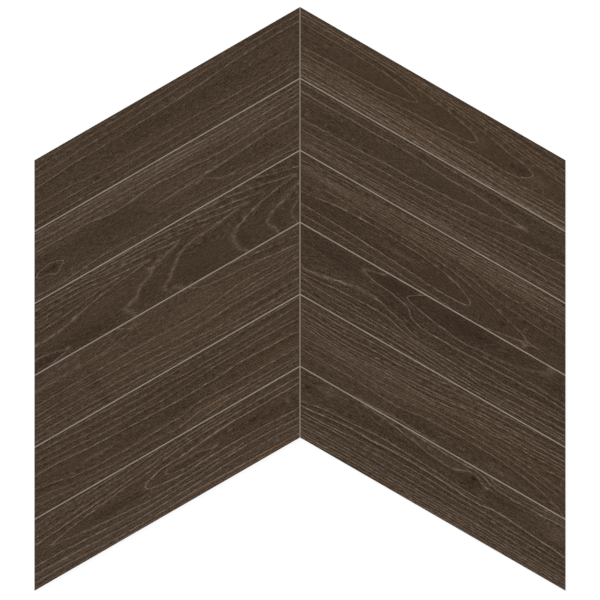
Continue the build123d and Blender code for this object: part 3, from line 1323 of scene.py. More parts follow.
                (80, -13.8), (100, -13.3), (130, -13.2), (150, -13.7), (170, -15.3), (195, -17)), 0.8),
            Ring(2, ((-211, -22), (-160, -23), (-130, -24.3), (-110, -24.8), (-90, -25.7), (-60, -26.5),
                (-30, -26), (0, -25.2), (40, -24), (60, -23), (80, -22.3), (140, -22.2), (160, -23),
                (187, -24.2)), 0.7),
            Ring(1, ((-216, -31.3), (-180, -31.2), (-150, -31.8), (-130, -33), (-100, -34), (-60, -34.3),
                (-20, -33.5), (0, -32.7), (20, -31.8), (40, -31.8), (70, -32.5), (110, -33), (140, -33.7),
                (181, -34.3)), 0.7),
            Ring(0, ((-218, -37), (-100, -38.3), (0, -37.8), (60, -37.5), (179, -38)), 0.35),
        ),
        tones=(
            Patch(-90, 2, 50, 6, -6), Patch(130, 8, 75, 9, -3), Patch(30, 4, 26, 4, -3),
            Patch(-100, -26, 110, 10, 2),
            Patch(120, -36, 70, 4, 4), Patch(60, -27, 120, 8, 2), Patch(192, 0, 20, 8, -4),
            Patch(40, 30, 30, 5, -2),
            Patch(-27, 4.5, 4, 5, 7), Patch(155, 5, 14, 2, -3), Patch(0, -32, 230, 6, 2.5),
            Patch(-178, 2, 10, 5, 3),
        ),
        warmths=(
            Patch(120, -36, 70, 4, 0.6), Patch(30, 4, 28, 5, -0.6), Patch(-40, -25, 160, 14, -0.3),
            Patch(100, 5, 140, 10, 0.3),
        ),
        ground=1.5,
        straight=1.15,
        strength=1.15,
    ),
    "plank_right_1": Print(
        rings=(
            Ring(-4, ((130, 36), (180, 34.5)), 0.4),
            Ring(-3, ((50, 35.7), (60, 35), (80, 33), (100, 32), (115, 31.2), (130, 29.8), (142, 28.8),
                (155, 28.3), (182, 27.5)), 0.55),
            Ring(-2, ((0, 34.5), (20, 33.5), (40, 32), (60, 30.3), (75, 29), (100, 27.3), (110, 26.5),
                (130, 24.5), (160, 22), (186, 20.5)), 0.55),
            Ring(-1, ((-50, 34.5), (-20, 33.2), (0, 32.3), (20, 31), (40, 29.3), (60, 27.5), (80, 25.7),
                (100, 24), (130, 21), (160, 18.8), (189, 17)), 0.6),
            Ring(0, ((-80, 35), (-60, 34), (-20, 31), (0, 28.8), (20, 27.5), (40, 26), (60, 24.3),
                (80, 22.5), (95, 21), (110, 19), (130, 17.5), (150, 15.5), (170, 13), (190, 11)), 0.55),
            Ring(1, ((-220, 35), (-190, 34.7), (-160, 34), (-140, 33.2), (-120, 32.8), (-100, 32.3),
                (-80, 31.7), (-60, 30.5), (-40, 29.5), (-20, 28), (0, 25.9), (20, 24), (35, 22.2), (50, 20),
                (65, 18.2), (80, 15.9), (92, 13.9), (103, 11.9), (112, 9.8), (125, 8.9), (136, 8), (142, 5),
                (148, 4), (150, 0.5), (147, -3.5), (141, -7), (135, -9.5), (128, -11.3), (115, -11.8),
                (100, -11.5), (80, -10.8), (60, -11), (40, -12.2), (20, -12.7), (0, -12.6), (-20, -12.8),
                (-60, -13.7), (-100, -14), (-140, -14.8), (-188, -15.2)), 0.65, 0.8),
            Ring(2, ((-217, 31), (-160, 30.3), (-140, 29.8), (-120, 29.3), (-100, 28.5), (-80, 27.8),
                (-60, 26.3), (-40, 24.8), (-20, 23), (0, 20.5), (10, 19.2), (20, 17.5), (30, 16), (40, 13.5),
                (48, 12), (55, 9.5), (61, 7), (64, 4), (62, 1), (57, -1.5), (48, -3), (30, -4.3), (10, -5.8),
                (-10, -5.7), (-40, -7), (-60, -7.7), (-100, -9), (-130, -8.9), (-160, -10),
                (-191, -10.3)), 0.65, 0.9),
            Ring(3, ((-215, 24), (-180, 23), (-140, 22.5), (-120, 21.7), (-100, 21.2), (-85, 20.7),
                (-70, 18.8), (-60, 17.7), (-50, 15.8), (-40, 13.2), (-33, 11), (-29, 9), (-34, 6.5),
                (-42, 4), (-50, 3), (-60, 1.5), (-80, 0), (-100, -0.7), (-125, -1.5), (-150, -2), (-180, -3),
                (-196, -3.4)), 0.65, 0.8),
            Ring(3.6, ((-205, 10), (-150, 10), (-90, 10), (-60, 10)), 0.0),
            Ring(0, ((-185, -17.5), (-100, -17.3), (-40, -17.7), (0, -17.7), (60, -17.5), (100, -18),
                (120, -18.7), (140, -18.5), (160, -17.2), (175, -15.7), (208, -15.7)), 0.6),
            Ring(-1, ((-183, -21), (-100, -20.7), (0, -20.7), (60, -21), (100, -22.7), (140, -23),
                (170, -22.3), (211, -21)), 0.6),
            Ring(-2, ((-182, -23), (-100, -23), (0, -23.5), (60, -23.8), (100, -25.5), (140, -26),
                (170, -25.6), (213, -24.3)), 0.55),
            Ring(-3, ((-181, -26.7), (-100, -26.3), (-60, -26.5), (0, -27.6), (60, -28.6), (100, -30.3),
                (120, -31.2), (150, -31.5), (190, -31), (216, -31.5)), 0.8),
            Ring(-4, ((-179, -32), (-120, -31.8), (-60, -32.4), (0, -33.8), (40, -34.6), (80, -35.2),
                (120, -36), (160, -36.5), (220, -37)), 0.8),
            Ring(-5, ((-178, -36.3), (-120, -36.2), (-60, -36.5), (0, -37.3), (60, -38), (120, -38.5),
                (221, -39)), 0.8, 1.1),
        ),
        tones=(
            Patch(0, -29, 260, 11, 7.5), Patch(-120, -36, 90, 4, 2), Patch(135, -1, 9, 5, -12),
            Patch(121, -1, 2.6, 2.4, -18),
            Patch(160, -3, 15, 4.5, 10), Patch(14, 21, 9, 3, -4), Patch(-18, 8.5, 9, 3.5, 4),
            Patch(0, 12, 30, 6, -2.5), Patch(-150, 12, 70, 8, -0.5), Patch(90, 2, 30, 6, -2),
            Patch(-60, 6, 40, 6, -2.5), Patch(-182, 14, 18, 1, 4), Patch(-188, 6, 8, 0.8, 5),
            Patch(71, 3.5, 11, 5, 6),
            Patch(150, 22, 40, 8, 1),
        ),
        warmths=(Patch(0, 0, 300, 90, 0.3),),
        ground=0.8,
        straight=0.9,
        straights=(Patch(0, -28, 240, 12, 0.4), Patch(0, 8, 220, 14, -0.6)),
        strength=0.95,
    ),
    "plank_right_2": Print(
        rings=(
            Ring(0, ((-220, 36.8), (-190, 36.5), (-150, 36.8), (-100, 36.7), (-60, 36), (-30, 37), (0, 36),
                (20, 35.6), (45, 35.2), (60, 36), (80, 36.5), (120, 36.5), (177, 36.3)), 0.6),
            Ring(1, ((-213, 27), (-197, 27), (-180, 26.5), (-160, 27), (-130, 27), (-100, 26.7), (-80, 27.5),
                (-45, 27.5), (-30, 26.5), (-20, 25.8), (-10, 24.8), (0, 24.5), (10, 24), (30, 24),
                (50, 24.3), (60, 23.2), (75, 22), (90, 20.7), (100, 19.5), (112, 18.3), (124, 17.3),
                (134, 16.5), (120, 15.2), (112, 13.5), (100, 11.8), (90, 10), (80, 8), (70, 7), (60, 6.5),
                (40, 4.5), (30, 3.5), (10, 2.5), (0, 1.8), (-10, 1.5), (-20, 0.4), (-30, -0.3), (-60, 0.2),
                (-80, -0.5), (-95, -1.5), (-140, -2.5), (-160, -3), (-195, -4.3)), 0.7, 0.9),
            Ring(1.6, ((-200, 12), (-100, 12), (0, 13), (70, 15)), 0.0),
            Ring(0, ((-188, -16), (-170, -15.8), (-150, -14.8), (-130, -13.5), (-110, -12.2), (-90, -11),
                (-60, -10.5), (-40, -10), (-20, -9.2), (0, -8.5), (40, -8), (60, -7.3), (80, -6.2),
                (100, -4.8), (115, -3.5), (140, -1.8), (160, -0.3), (200, 1.3)), 0.75),
            Ring(-1, ((-180, -23.5), (-165, -22.5), (-150, -21.5), (-120, -21.2), (-90, -20.8), (-60, -19.8),
                (-30, -18.8), (0, -18), (20, -17), (60, -16), (100, -14.3), (130, -13.5), (150, -12),
                (180, -11), (205, -10.3)), 0.6),
            Ring(-2, ((-160, -28.5), (-140, -28), (-120, -27), (-100, -27), (-80, -26.5), (-55, -25.8),
                (-40, -25), (-20, -24.6), (10, -24.5), (25, -23.8), (40, -23), (60, -22.3), (80, -21.3),
                (100, -20.5), (120, -19.9), (150, -19.2), (190, -18.2), (208, -18)), 0.6),
            Ring(-3, ((-110, -30), (-60, -29.5), (-20, -28.6), (0, -28.6), (45, -28.7), (60, -28), (80, -27),
                (100, -26), (130, -25.6), (212, -25.6)), 0.6),
            Ring(-4, ((-178, -31.8), (-160, -31.5), (-140, -32.7), (-120, -33.4), (-90, -32.8), (-20, -32.5),
                (10, -32), (30, -31.5), (50, -32), (100, -31.8), (150, -31.6), (215, -31)), 0.5, 1.1),
            Ring(-5, ((-70, -38), (-45, -37.2), (-20, -35.8), (0, -35), (20, -34.4), (45, -34.6),
                (60, -35.5), (75, -36.5), (100, -36.3), (115, -35.2), (140, -34.5), (216, -35)), 0.55, 1.0),
        ),
        tones=(
            Patch(-130, 12, 60, 8, -4), Patch(10, 12, 60, 6, -3.5), Patch(104, 18, 16, 2.5, 4),
            Patch(162, 10, 32, 5, -6.5),
            Patch(80, -36, 70, 3.5, 6), Patch(-20, -36, 40, 3, 3), Patch(120, 32, 50, 5, -3),
            Patch(60, -12, 10, 3, -5),
            Patch(-34, 33, 4, 2.4, -16), Patch(-103, 1, 2.4, 1.8, -18), Patch(-150, -24, 60, 8, 1.5),
            Patch(-44, 12.6, 6, 1, 7),
            Patch(30, 15, 12, 1, 5), Patch(-130, 17, 12, 1, 4), Patch(165, 16, 18, 3, 3),
        ),
        straights=(Patch(-40, 12, 140, 11, -0.5),),
        warmths=(Patch(0, 0, 300, 90, -0.05),),
        ground=1.2,
    ),
    "plank_right_3": Print(
        rings=(
            Ring(-4, ((-206, 33.8), (-185, 33.5), (-165, 34.6), (-150, 35.5), (-130, 36.5),
                (-110, 38)), 0.55),
            Ring(-3, ((-214, 31), (-190, 30.8), (-150, 31), (-120, 31), (-100, 31.7), (-80, 33), (-60, 33.3),
                (-40, 34.3), (-20, 35), (0, 35.5), (40, 36.2), (80, 37.3), (110, 38)), 0.55),
            Ring(-2, ((-170, 25.5), (-150, 26), (-130, 27.3), (-115, 28.3), (-100, 29), (-80, 30.5),
                (-60, 30.2), (-40, 31), (-20, 32), (0, 32.6), (30, 33.3), (60, 34), (100, 35),
                (180, 34.6)), 0.6),
            Ring(-1, ((-215, 25), (-195, 24.8), (-170, 23.6), (-140, 24.3), (-120, 25.5), (-100, 26.3),
                (-80, 27), (-60, 25.6), (-45, 26), (-30, 27.5), (-10, 28.6), (30, 29.5), (60, 30.5),
                (100, 32), (130, 32.8), (181, 31.5)), 0.6),
            Ring(0, ((-60, 22.6), (-30, 24.5), (0, 26), (30, 26.7), (60, 27.5), (100, 28), (183, 28)), 0.5),
            Ring(1, ((-210, 21.8), (-190, 21.3), (-140, 20.5), (-100, 21), (-60, 20.6), (-20, 21), (0, 22.2),
                (50, 22.5), (70, 22.8), (100, 22), (130, 22.5), (186, 23)), 0.5),
            Ring(2, ((-206, 18.8), (-180, 18.5), (-140, 18.5), (-100, 17.6), (-60, 17.8), (-20, 19.3),
                (0, 20.3), (45, 20.8), (70, 19.6), (100, 20), (130, 19.4), (189, 19.4)), 0.5),
            Ring(3, ((45, 16.5), (60, 15.3), (75, 14.2), (88, 12.7), (100, 11.3), (120, 10.5), (150, 10),
                (194, 9.4)), 0.6),
            Ring(4, ((-40, 15), (-20, 14.5), (0, 13), (10, 12), (30, 9.8), (40, 8.8), (50, 7.5), (60, 6),
                (70, 4.2), (80, 2.2), (90, 0.8), (100, -0.3), (115, -2), (130, -3.3), (145, -4.3), (160, -5),
                (180, -5.7), (203, -7)), 0.6),
            Ring(5, ((-168, 11), (-150, 11.5), (-140, 11.3), (-110, 10.7), (-80, 10.5), (-50, 10), (-30, 9),
                (-10, 7.5), (0, 6.3), (20, 4.3), (30, 3), (40, 1.5), (50, -0.3), (60, -2.3), (80, -6.3),
                (100, -10.5), (120, -15.5), (140, -20.5), (150, -23.5), (156, -26), (162, -28), (172, -28.6),
                (160, -29.5), (150, -31), (130, -34), (110, -37.5), (100, -39.5)), 0.65),
            Ring(6, ((-198, -4.3), (-185, -4), (-175, -2.8), (-165, -1), (-155, 0.5), (-145, 1.5), (-130, 2),
                (-110, 2.7), (-90, 3.3), (-75, 3), (-60, 2.3), (-40, 1.8), (-20, 1), (-10, 0), (0, -1.2),
                (10, -2.3), (20, -4), (35, -7.5), (45, -10), (55, -13.5), (62, -17), (68, -20.5), (69, -23),
                (66, -25.5), (60, -26.7), (50, -27.3), (40, -27.6), (20, -27.5), (0, -26.5), (-20, -25),
                (-40, -24), (-60, -23), (-80, -22), (-100, -21), (-120, -20), (-150, -19),
                (-190, -18.5)), 0.8, 0.8),
            Ring(6.6, ((-180, -10), (-80, -10), (0, -12), (45, -20)), 0.0),
            Ring(5, ((-182, -31.2), (-160, -30.3), (-110, -30.5), (-90, -31.3), (-60, -32), (-40, -33),
                (-20, -34.5), (0, -35.8), (20, -37), (45, -38.7)), 0.6),
        ),
        tones=(
            Patch(40, 27, 160, 10, 3), Patch(118, 28, 55, 8, 7), Patch(-150, 26, 50, 8, 0.5),
            Patch(-150, -10, 60, 7, -5),
            Patch(-38, -11.5, 24, 2.4, 15), Patch(10, -13, 60, 10, -3), Patch(120, -24, 14, 5, -4),
            Patch(148, -8, 8, 5, -4),
            Patch(190, -12, 40, 12, -2), Patch(119, -24, 4, 2.6, -14), Patch(125, -24, 2, 1.8, 16),
            Patch(-185, 8, 20, 10, 3),
            Patch(82, 17.5, 5, 1.3, 8), Patch(188, -24, 14, 3, 3), Patch(161, -29, 9, 3, -12),
            Patch(165, -14, 14, 5, 4),
        ),
        straights=(Patch(60, -12, 110, 14, -0.6), Patch(0, 28, 220, 11, 0.1)),
        warmths=(Patch(20, 0, 200, 60, 0.15),),
        ground=-0.8,
        strength=1.15,
    ),
    "plank_right_4": Print(
        rings=(
            Ring(8, ((-36, 39), (-41, 36.5), (-46, 33), (-50, 30), (-54, 27), (-52, 24.3), (-45, 22),
                (-38, 20.8), (-28, 18.8), (-18, 17), (-8, 15.5), (0, 14.5), (10, 14), (20, 12.5), (28, 11.3),
                (45, 11.3), (60, 13.3), (72, 13.2)), 0.75, 0.8),
            Ring(8, ((74, 13.4), (90, 15), (100, 16.5), (110, 17.8), (120, 19.8), (130, 22.5), (140, 26),
                (147, 29), (152, 33), (155, 39)), 0.32, 1.5, -4.0),
            Ring(7, ((73, 8.2), (90, 9.3), (110, 10), (125, 9.5), (150, 9), (196, 7.5)), 0.65),
            Ring(6, ((-92, 39), (-96, 36), (-105, 33.5), (-112, 31.5), (-118, 29.5), (-121, 28), (-113, 26),
                (-108, 24.5), (-103, 22.7), (-95, 22)), 0.5, 1.6, -3.0),
            Ring(6, ((-93, 21.8), (-85, 21), (-75, 20.5), (-65, 19), (-58, 17.5), (-52, 16.5), (-46, 14.5),
                (-42, 11.5), (-38, 7), (-34, 4.5), (-28, 3), (-20, 1), (-10, 0), (20, 0), (40, -0.3),
                (60, 0.7), (95, 1), (110, 1.5), (125, 2.5), (165, 2.8), (180, 2), (198, 1.5)), 0.8, 0.8),
            Ring(5, ((55, -8.3), (100, -8)), 0.4),
            Ring(5, ((108, -9.5), (125, -9), (140, -8.5), (165, -7), (180, -6.3), (201, -6)), 0.6),
            Ring(4, ((-186, -8.5), (-170, -6.2), (-155, -3.5), (-145, -1), (-135, 1), (-125, 3), (-115, 4.5),
                (-100, 5), (-90, 4.6), (-80, 3)), 0.65, 1.8, -3.0),
            Ring(4, ((-78, 2.5), (-70, 0.2), (-60, -2), (-45, -4.7), (-36, -8.2), (-28, -11),
                (-18, -12.5)), 0.6, 0.8),
            Ring(4, ((-16, -12.6), (20, -12), (45, -12.3), (100, -12.7)), 0.45),
            Ring(3, ((-182, -15.3), (-170, -14), (-160, -13.3), (-150, -12.3), (-140, -11.2), (-125, -10.3),
                (-100, -9), (-80, -8.7), (-65, -9.2), (-55, -11), (-45, -13.5), (-35, -15.5), (-25, -17.5),
                (-15, -18.3), (20, -17.9), (40, -18.3), (60, -19.3), (75, -20.8), (85, -20), (95, -18.7),
                (105, -17.5), (120, -16.3), (130, -15.3), (150, -14.8), (180, -14.3), (205, -13.3)), 0.8),
            Ring(2, ((-135, -18.3), (-110, -17.6), (-80, -17.8), (-60, -18.5), (-30, -20), (0, -21.3),
                (30, -22), (55, -22.4), (68, -22.8)), 0.5),
            Ring(2, ((120, -25), (140, -24), (170, -23.3), (190, -22), (212, -22.2)), 0.55, 1.0),
            Ring(1, ((-186, -20.5), (-175, -21.5), (-160, -22.5), (-110, -22.8), (-50, -23.3), (0, -25.3),
                (25, -26.3), (45, -28.2), (70, -29), (100, -30), (130, -29.8), (160, -29),
                (214, -28.3)), 0.7),
            Ring(0, ((-183, -27), (-165, -28.3), (-145, -29), (-130, -28), (-80, -27), (-50, -27.5),
                (-20, -28.3), (0, -29.2), (18, -30.8), (35, -32.8), (60, -32.3), (85, -33),
                (120, -33.5)), 0.65),
            Ring(-1, ((-179, -34.5), (-150, -35.5), (-125, -35.7), (-105, -35), (-85, -34), (-60, -33.2),
                (-30, -33.3), (0, -34.5), (20, -35), (40, -35.5), (60, -36.8), (90, -36.5), (120, -36.2),
                (150, -35.5), (218, -35)), 0.75),
            Ring(-2, ((-60, -38.5), (-40, -37.7), (0, -38.3), (30, -38.8)), 0.5),
        ),
        tones=(
            Patch(-75, 30, 34, 11, -9), Patch(30, 27, 64, 11, -9), Patch(-165, 29, 44, 11, -5),
            Patch(-60, 8, 26, 7, -5),
            Patch(-35, -3, 12, 5, -6), Patch(120, 32, 26, 6, -3), Patch(182, 20, 30, 10, -3),
            Patch(20, -24, 50, 6, 3),
            Patch(-140, 18, 40, 7, -2), Patch(85, 34, 14, 4, 4), Patch(-130, 13, 14, 1, 4),
            Patch(-112, 11, 7, 1, 5), Patch(60, 6, 120, 4, -1), Patch(160, -2, 50, 2, -5),
        ),
        straights=(Patch(-20, 27, 150, 15, -0.6), Patch(0, -22, 220, 14, 0.3)),
        warmths=(Patch(0, 10, 260, 40, -0.3),),
        ground=-1.0,
        strength=1.15,
    ),
    "plank_right_5": Print(
        rings=(
            Ring(0, ((-212, 31.5), (-190, 31.7), (-155, 31.3), (-145, 32), (-120, 33), (-100, 33.3),
                (-80, 33), (-60, 33.7), (-40, 35), (-20, 36.3), (0, 38.3)), 0.6),
            Ring(1, ((-75, 28.6), (-60, 29.8), (-40, 30.6), (-20, 31.9), (0, 34.6), (20, 36.3),
                (40, 37.8)), 0.55),
            Ring(2, ((-212, 24.3), (-195, 23.8), (-170, 23), (-150, 23), (-130, 23.8), (-110, 24.8),
                (-80, 25.2), (-60, 25.8), (-40, 27), (-20, 28), (0, 29.3), (20, 31.3), (40, 33), (60, 34.5),
                (80, 36), (100, 37.3), (130, 38.5)), 0.6),
            Ring(3, ((-205, 18.8), (-180, 18.5), (-150, 17.3), (-130, 17), (-110, 18), (-90, 18.8),
                (-60, 19.3), (-35, 20.6), (-10, 22), (0, 23), (20, 26), (40, 27.8), (60, 29.2), (80, 30.2),
                (110, 30.8), (140, 31.8), (160, 33.5), (178, 34.5)), 0.55),
            Ring(4, ((-205, 14.6), (-180, 14.3), (-150, 12.7), (-130, 12.3), (-115, 13.3), (-100, 14),
                (-60, 14.5), (-30, 15.3), (-15, 16.7), (0, 17.3), (20, 19.7), (40, 22.5), (60, 24),
                (80, 24.8), (100, 25), (120, 25.8), (150, 27), (183, 28.3)), 0.65),
            Ring(5, ((-62, 12), (-45, 11.8), (-30, 11.5), (-15, 13.2), (0, 14.6), (20, 16.5), (30, 17.9),
                (45, 19.3), (60, 20.4), (80, 21.2), (100, 21.8), (120, 22.6), (150, 23), (186, 24)), 0.65),
            Ring(6, ((-200, 8.6), (-185, 8.2), (-165, 6.9), (-150, 6), (-130, 5.4), (-110, 6.2), (-90, 7.3),
                (-75, 7.5), (-55, 6.8), (-30, 6.6), (-10, 7.5), (5, 9), (20, 10.7), (35, 12.8), (55, 13.8),
                (75, 15), (85, 14.3), (97, 14.7), (106, 16.4), (125, 17), (140, 16.6), (150, 17.5),
                (190, 18)), 0.65),
            Ring(7, ((-200, 6), (-185, 4.8), (-165, 3.8), (-140, 2.6), (-120, 2.8), (-100, 3.8), (-80, 4.4),
                (-60, 3.4), (-30, 3.8), (0, 5.3), (15, 7), (28, 8.8), (40, 10.4), (55, 10.8), (75, 11.5),
                (82, 10.2), (92, 11), (102, 13), (150, 13), (170, 14.2), (191, 14.3)), 0.6),
            Ring(8, ((8, 3.5), (25, 6), (40, 7.8), (50, 7.3), (60, 8.3), (75, 8), (80, 6.7), (90, 7),
                (98, 9), (110, 8.7), (125, 9.5), (140, 8.5), (150, 9.7), (193, 10.3)), 0.55),
            Ring(9, ((-190, -1.5), (-150, -1.8), (-90, -2)), 0.35),
            Ring(9, ((126, 0.2), (145, 1.3), (170, 2.3), (198, 3.3)), 0.55),
            Ring(10, ((-190, -5.5), (-170, -4.6), (-150, -5), (-130, -4.8), (-110, -5.3), (-85, -6.3),
                (-75, -5.6), (-60, -4.9), (-30, -4.3), (0, -3), (40, -1.8), (80, -2), (110, -3.3),
                (125, -3.8), (142, -4.6), (155, -5.7), (168, -7.5), (180, -9.2), (203, -11.7)), 0.5),
            Ring(11, ((-195, -11), (-180, -11.2), (-170, -10.5), (-130, -10.3), (-110, -10.5), (-85, -11.5),
                (-65, -12), (-50, -12), (-20, -10), (5, -7), (20, -7.8), (45, -8.3), (60, -8), (80, -7.8),
                (95, -8.2), (110, -9), (125, -10), (140, -11.2), (155, -12.7), (170, -14.5), (185, -16.5),
                (200, -19), (209, -21)), 0.5),
            Ring(12, ((-186, -20.3), (-150, -20), (-110, -20), (-90, -21), (-75, -21.7), (-60, -22.5),
                (-45, -23), (-35, -22.5), (-25, -21), (-15, -19.5), (-5, -17.7), (15, -17), (30, -16),
                (60, -15.6), (100, -16), (115, -17), (130, -18), (145, -19.5), (160, -21.7), (175, -24.5),
                (190, -28), (205, -32.5), (215, -37), (220, -39.5)), 0.65),
            Ring(14, ((-90, -39), (-60, -38.5), (-40, -37.5), (-20, -37.5), (0, -38),
                (20, -38.6)), 0.65, 0.9),
        ),
        tones=(
            Patch(-80, -8, 80, 10, 3), Patch(-150, -23, 20, 2, 5), Patch(-95, -30.5, 10, 1.2, -9),
            Patch(-103, -32.4, 14, 0.8, 5),
            Patch(-12, -28, 22, 6, -5), Patch(15, -32, 22, 6, -5), Patch(70, -21, 50, 4, -4),
            Patch(112, -30, 20, 2.2, 13),
            Patch(170, -31, 40, 7, -1), Patch(168, -28, 12, 4, 4), Patch(110, 12, 70, 9, 1),
            Patch(-26, 22, 3, 2, -16), Patch(-100, 28, 50, 3, -2),
            Patch(125, 4.6, 26, 1.6, 6), Patch(48, 5.2, 20, 1.4, 4), Patch(-40, -10, 24, 6, 2),
        ),
        warmths=(Patch(100, 5, 120, 20, 0.3),),
        straights=(Patch(160, -27, 70, 10, -0.6),),
        ground=1.0,
        straight=1.1,
        strength=1.2,
    ),
    "plank_right_6": Print(
        rings=(
            Ring(-2, ((90, 38), (120, 37.5), (176, 38)), 0.35),
            Ring(-1, ((60, 38.8), (66, 37), (75, 35), (90, 33.8), (110, 33.5), (140, 34.3),
                (178, 35.3)), 0.5),
            Ring(0, ((-55, 38.5), (-30, 37.5), (-10, 36.8), (20, 36.3), (33, 37), (42, 37.3), (50, 36.4),
                (57, 34.2), (65, 32), (75, 29.9), (90, 28.6), (120, 28.5), (150, 29.5), (170, 30.8),
                (182, 31.3)), 0.75, 0.9),
            Ring(1, ((-118, 38.5), (-100, 37), (-85, 35), (-70, 33), (-55, 31), (-42, 29), (-30, 26.8),
                (-20, 25.8), (0, 24.3), (10, 23.9), (17, 24.8), (22, 26.3), (28, 28.8), (34, 31), (40, 32.3),
                (46, 32.2), (51, 30.5), (54, 28.5), (58, 26.3), (64, 24.8)), 0.55, 1.2, -3.0),
            Ring(3, ((-198, 2.3), (-188, 3.5), (-180, 6), (-170, 7.5), (-150, 9), (-130, 9.8), (-110, 11),
                (-95, 12.4), (-80, 12.8), (-60, 12.4), (-40, 11.5), (-20, 11), (0, 10), (15, 9.2), (30, 8),
                (45, 7.2), (56, 7.2)), 0.7),
            Ring(4, ((-196, -3.5), (-185, -2.5), (-175, -1.3), (-165, 0), (-150, 1.3), (-140, 2.5),
                (-125, 3.3), (-90, 3.5), (-80, 4.3), (-65, 4.8), (-40, 5.2), (-20, 4.5), (0, 4.3), (15, 3.3),
                (30, 2.5), (45, 1.5), (60, 1.3), (70, 1.7), (80, 2.8), (86, 3.6), (105, 4), (115, 3.3),
                (130, 2), (150, 0.7), (157, -0.2), (180, -0.8), (190, -2), (200, -3.3)), 0.95, 0.9),
            Ring(5, ((-186, -9), (-165, -8.8), (-150, -8), (-130, -6.3), (-110, -5), (-90, -4.6),
                (-75, -3.5), (-45, -3.5), (-30, -3), (0, -3), (20, -3.8), (40, -4.7), (75, -4.7), (90, -5.3),
                (110, -6), (130, -7), (150, -7.3), (170, -8), (203, -9.2)), 0.75),
            Ring(6, ((-188, -13.3), (-170, -12.5), (-150, -11.7), (-130, -11), (-90, -10.5), (-75, -9.7),
                (-40, -9.5), (0, -9.6), (40, -10.3), (85, -10), (100, -10.5), (120, -11.8), (140, -12),
                (160, -12.8), (207, -14.3)), 0.65),
            Ring(7, ((-187, -18), (-145, -17.4), (-105, -17), (-60, -17), (-30, -16.6), (-15, -17.2),
                (0, -16.9), (30, -17), (70, -17.5), (105, -17.6), (130, -18.3), (150, -19), (170, -19.3),
                (190, -20.3), (210, -20.7)), 0.6),
            Ring(8, ((-183, -23), (-160, -22.6), (-130, -22.3), (-100, -22), (-60, -22.3), (0, -22.5),
                (50, -22.7), (80, -23), (110, -23.3), (130, -23.7), (160, -24.5), (190, -25.5),
                (212, -26)), 0.65),
            Ring(9, ((-181, -27), (-160, -26.3), (-130, -25.7), (-100, -25.5), (-60, -25.8), (0, -25.5),
                (60, -26), (110, -26.8), (160, -28), (214, -29.3)), 0.65),
            Ring(10, ((-179, -31.8), (-160, -31.3), (-140, -30.7), (-120, -29.8), (-100, -29.7), (-60, -30),
                (-20, -29.8), (0, -29), (60, -29.5), (110, -30.3), (160, -31.2), (216, -32.5)), 0.65),
            Ring(11, ((-178, -35), (-150, -34.8), (-120, -33.5), (-100, -32.8), (-60, -33.2), (0, -32),
                (60, -32.2), (110, -33.3), (160, -34.2), (218, -35.7)), 0.6),
            Ring(12, ((-150, -37.5), (-100, -37), (-60, -37), (0, -35.5), (60, -35.8), (110, -36.5),
                (160, -37.2), (220, -38.3)), 0.5),
            Ring(13, ((-40, -38.6), (0, -38), (60, -38.2), (110, -38.6)), 0.6),
        ),
        tones=(
            Patch(64, 17, 4, 7, 7), Patch(-202, 22, 5, 3.5, -16), Patch(-207, 21.5, 1.8, 1.8, 14),
            Patch(-174, 30, 10, 9, 8),
            Patch(-50, 22, 80, 5, -5), Patch(44, 21, 12, 8, -9), Patch(45, 26.5, 3.6, 3.2, -18),
            Patch(43, 23.3, 2.4, 1, 18),
            Patch(100, 20, 24, 6, -4), Patch(178, 18, 14, 9, 10), Patch(-80, -20, 110, 6, -2),
            Patch(-110, 15, 60, 4, -2),
            Patch(-195, 13.3, 9, 1, 6), Patch(112, 2, 16, 1.5, 4), Patch(122, -11.5, 9, 1.2, 4),
            Patch(-10, 30, 34, 4, 3),
            Patch(-50, 0, 140, 2, -4),
        ),
        warmths=(Patch(0, 0, 300, 90, -0.25),),
        straight=1.25,
        straights=(Patch(30, 24, 60, 10, -0.8), Patch(-100, 24, 80, 8, -0.4)),
        strength=1.15,
    ),
}


@dataclass
class JointFiller:
    """The filler of all joints, which keeps its frame node and gets its finish."""

    node: str = "joint_filler"

    def build(self, node: bpy.types.Object, finish: CementFinish) -> None:
        """Dresses the frame's node.

        Args:
            node: the frame's object.
            finish: the cement finish.
        """
        node.data.materials.clear()
        node.data.materials.append(finish.material())


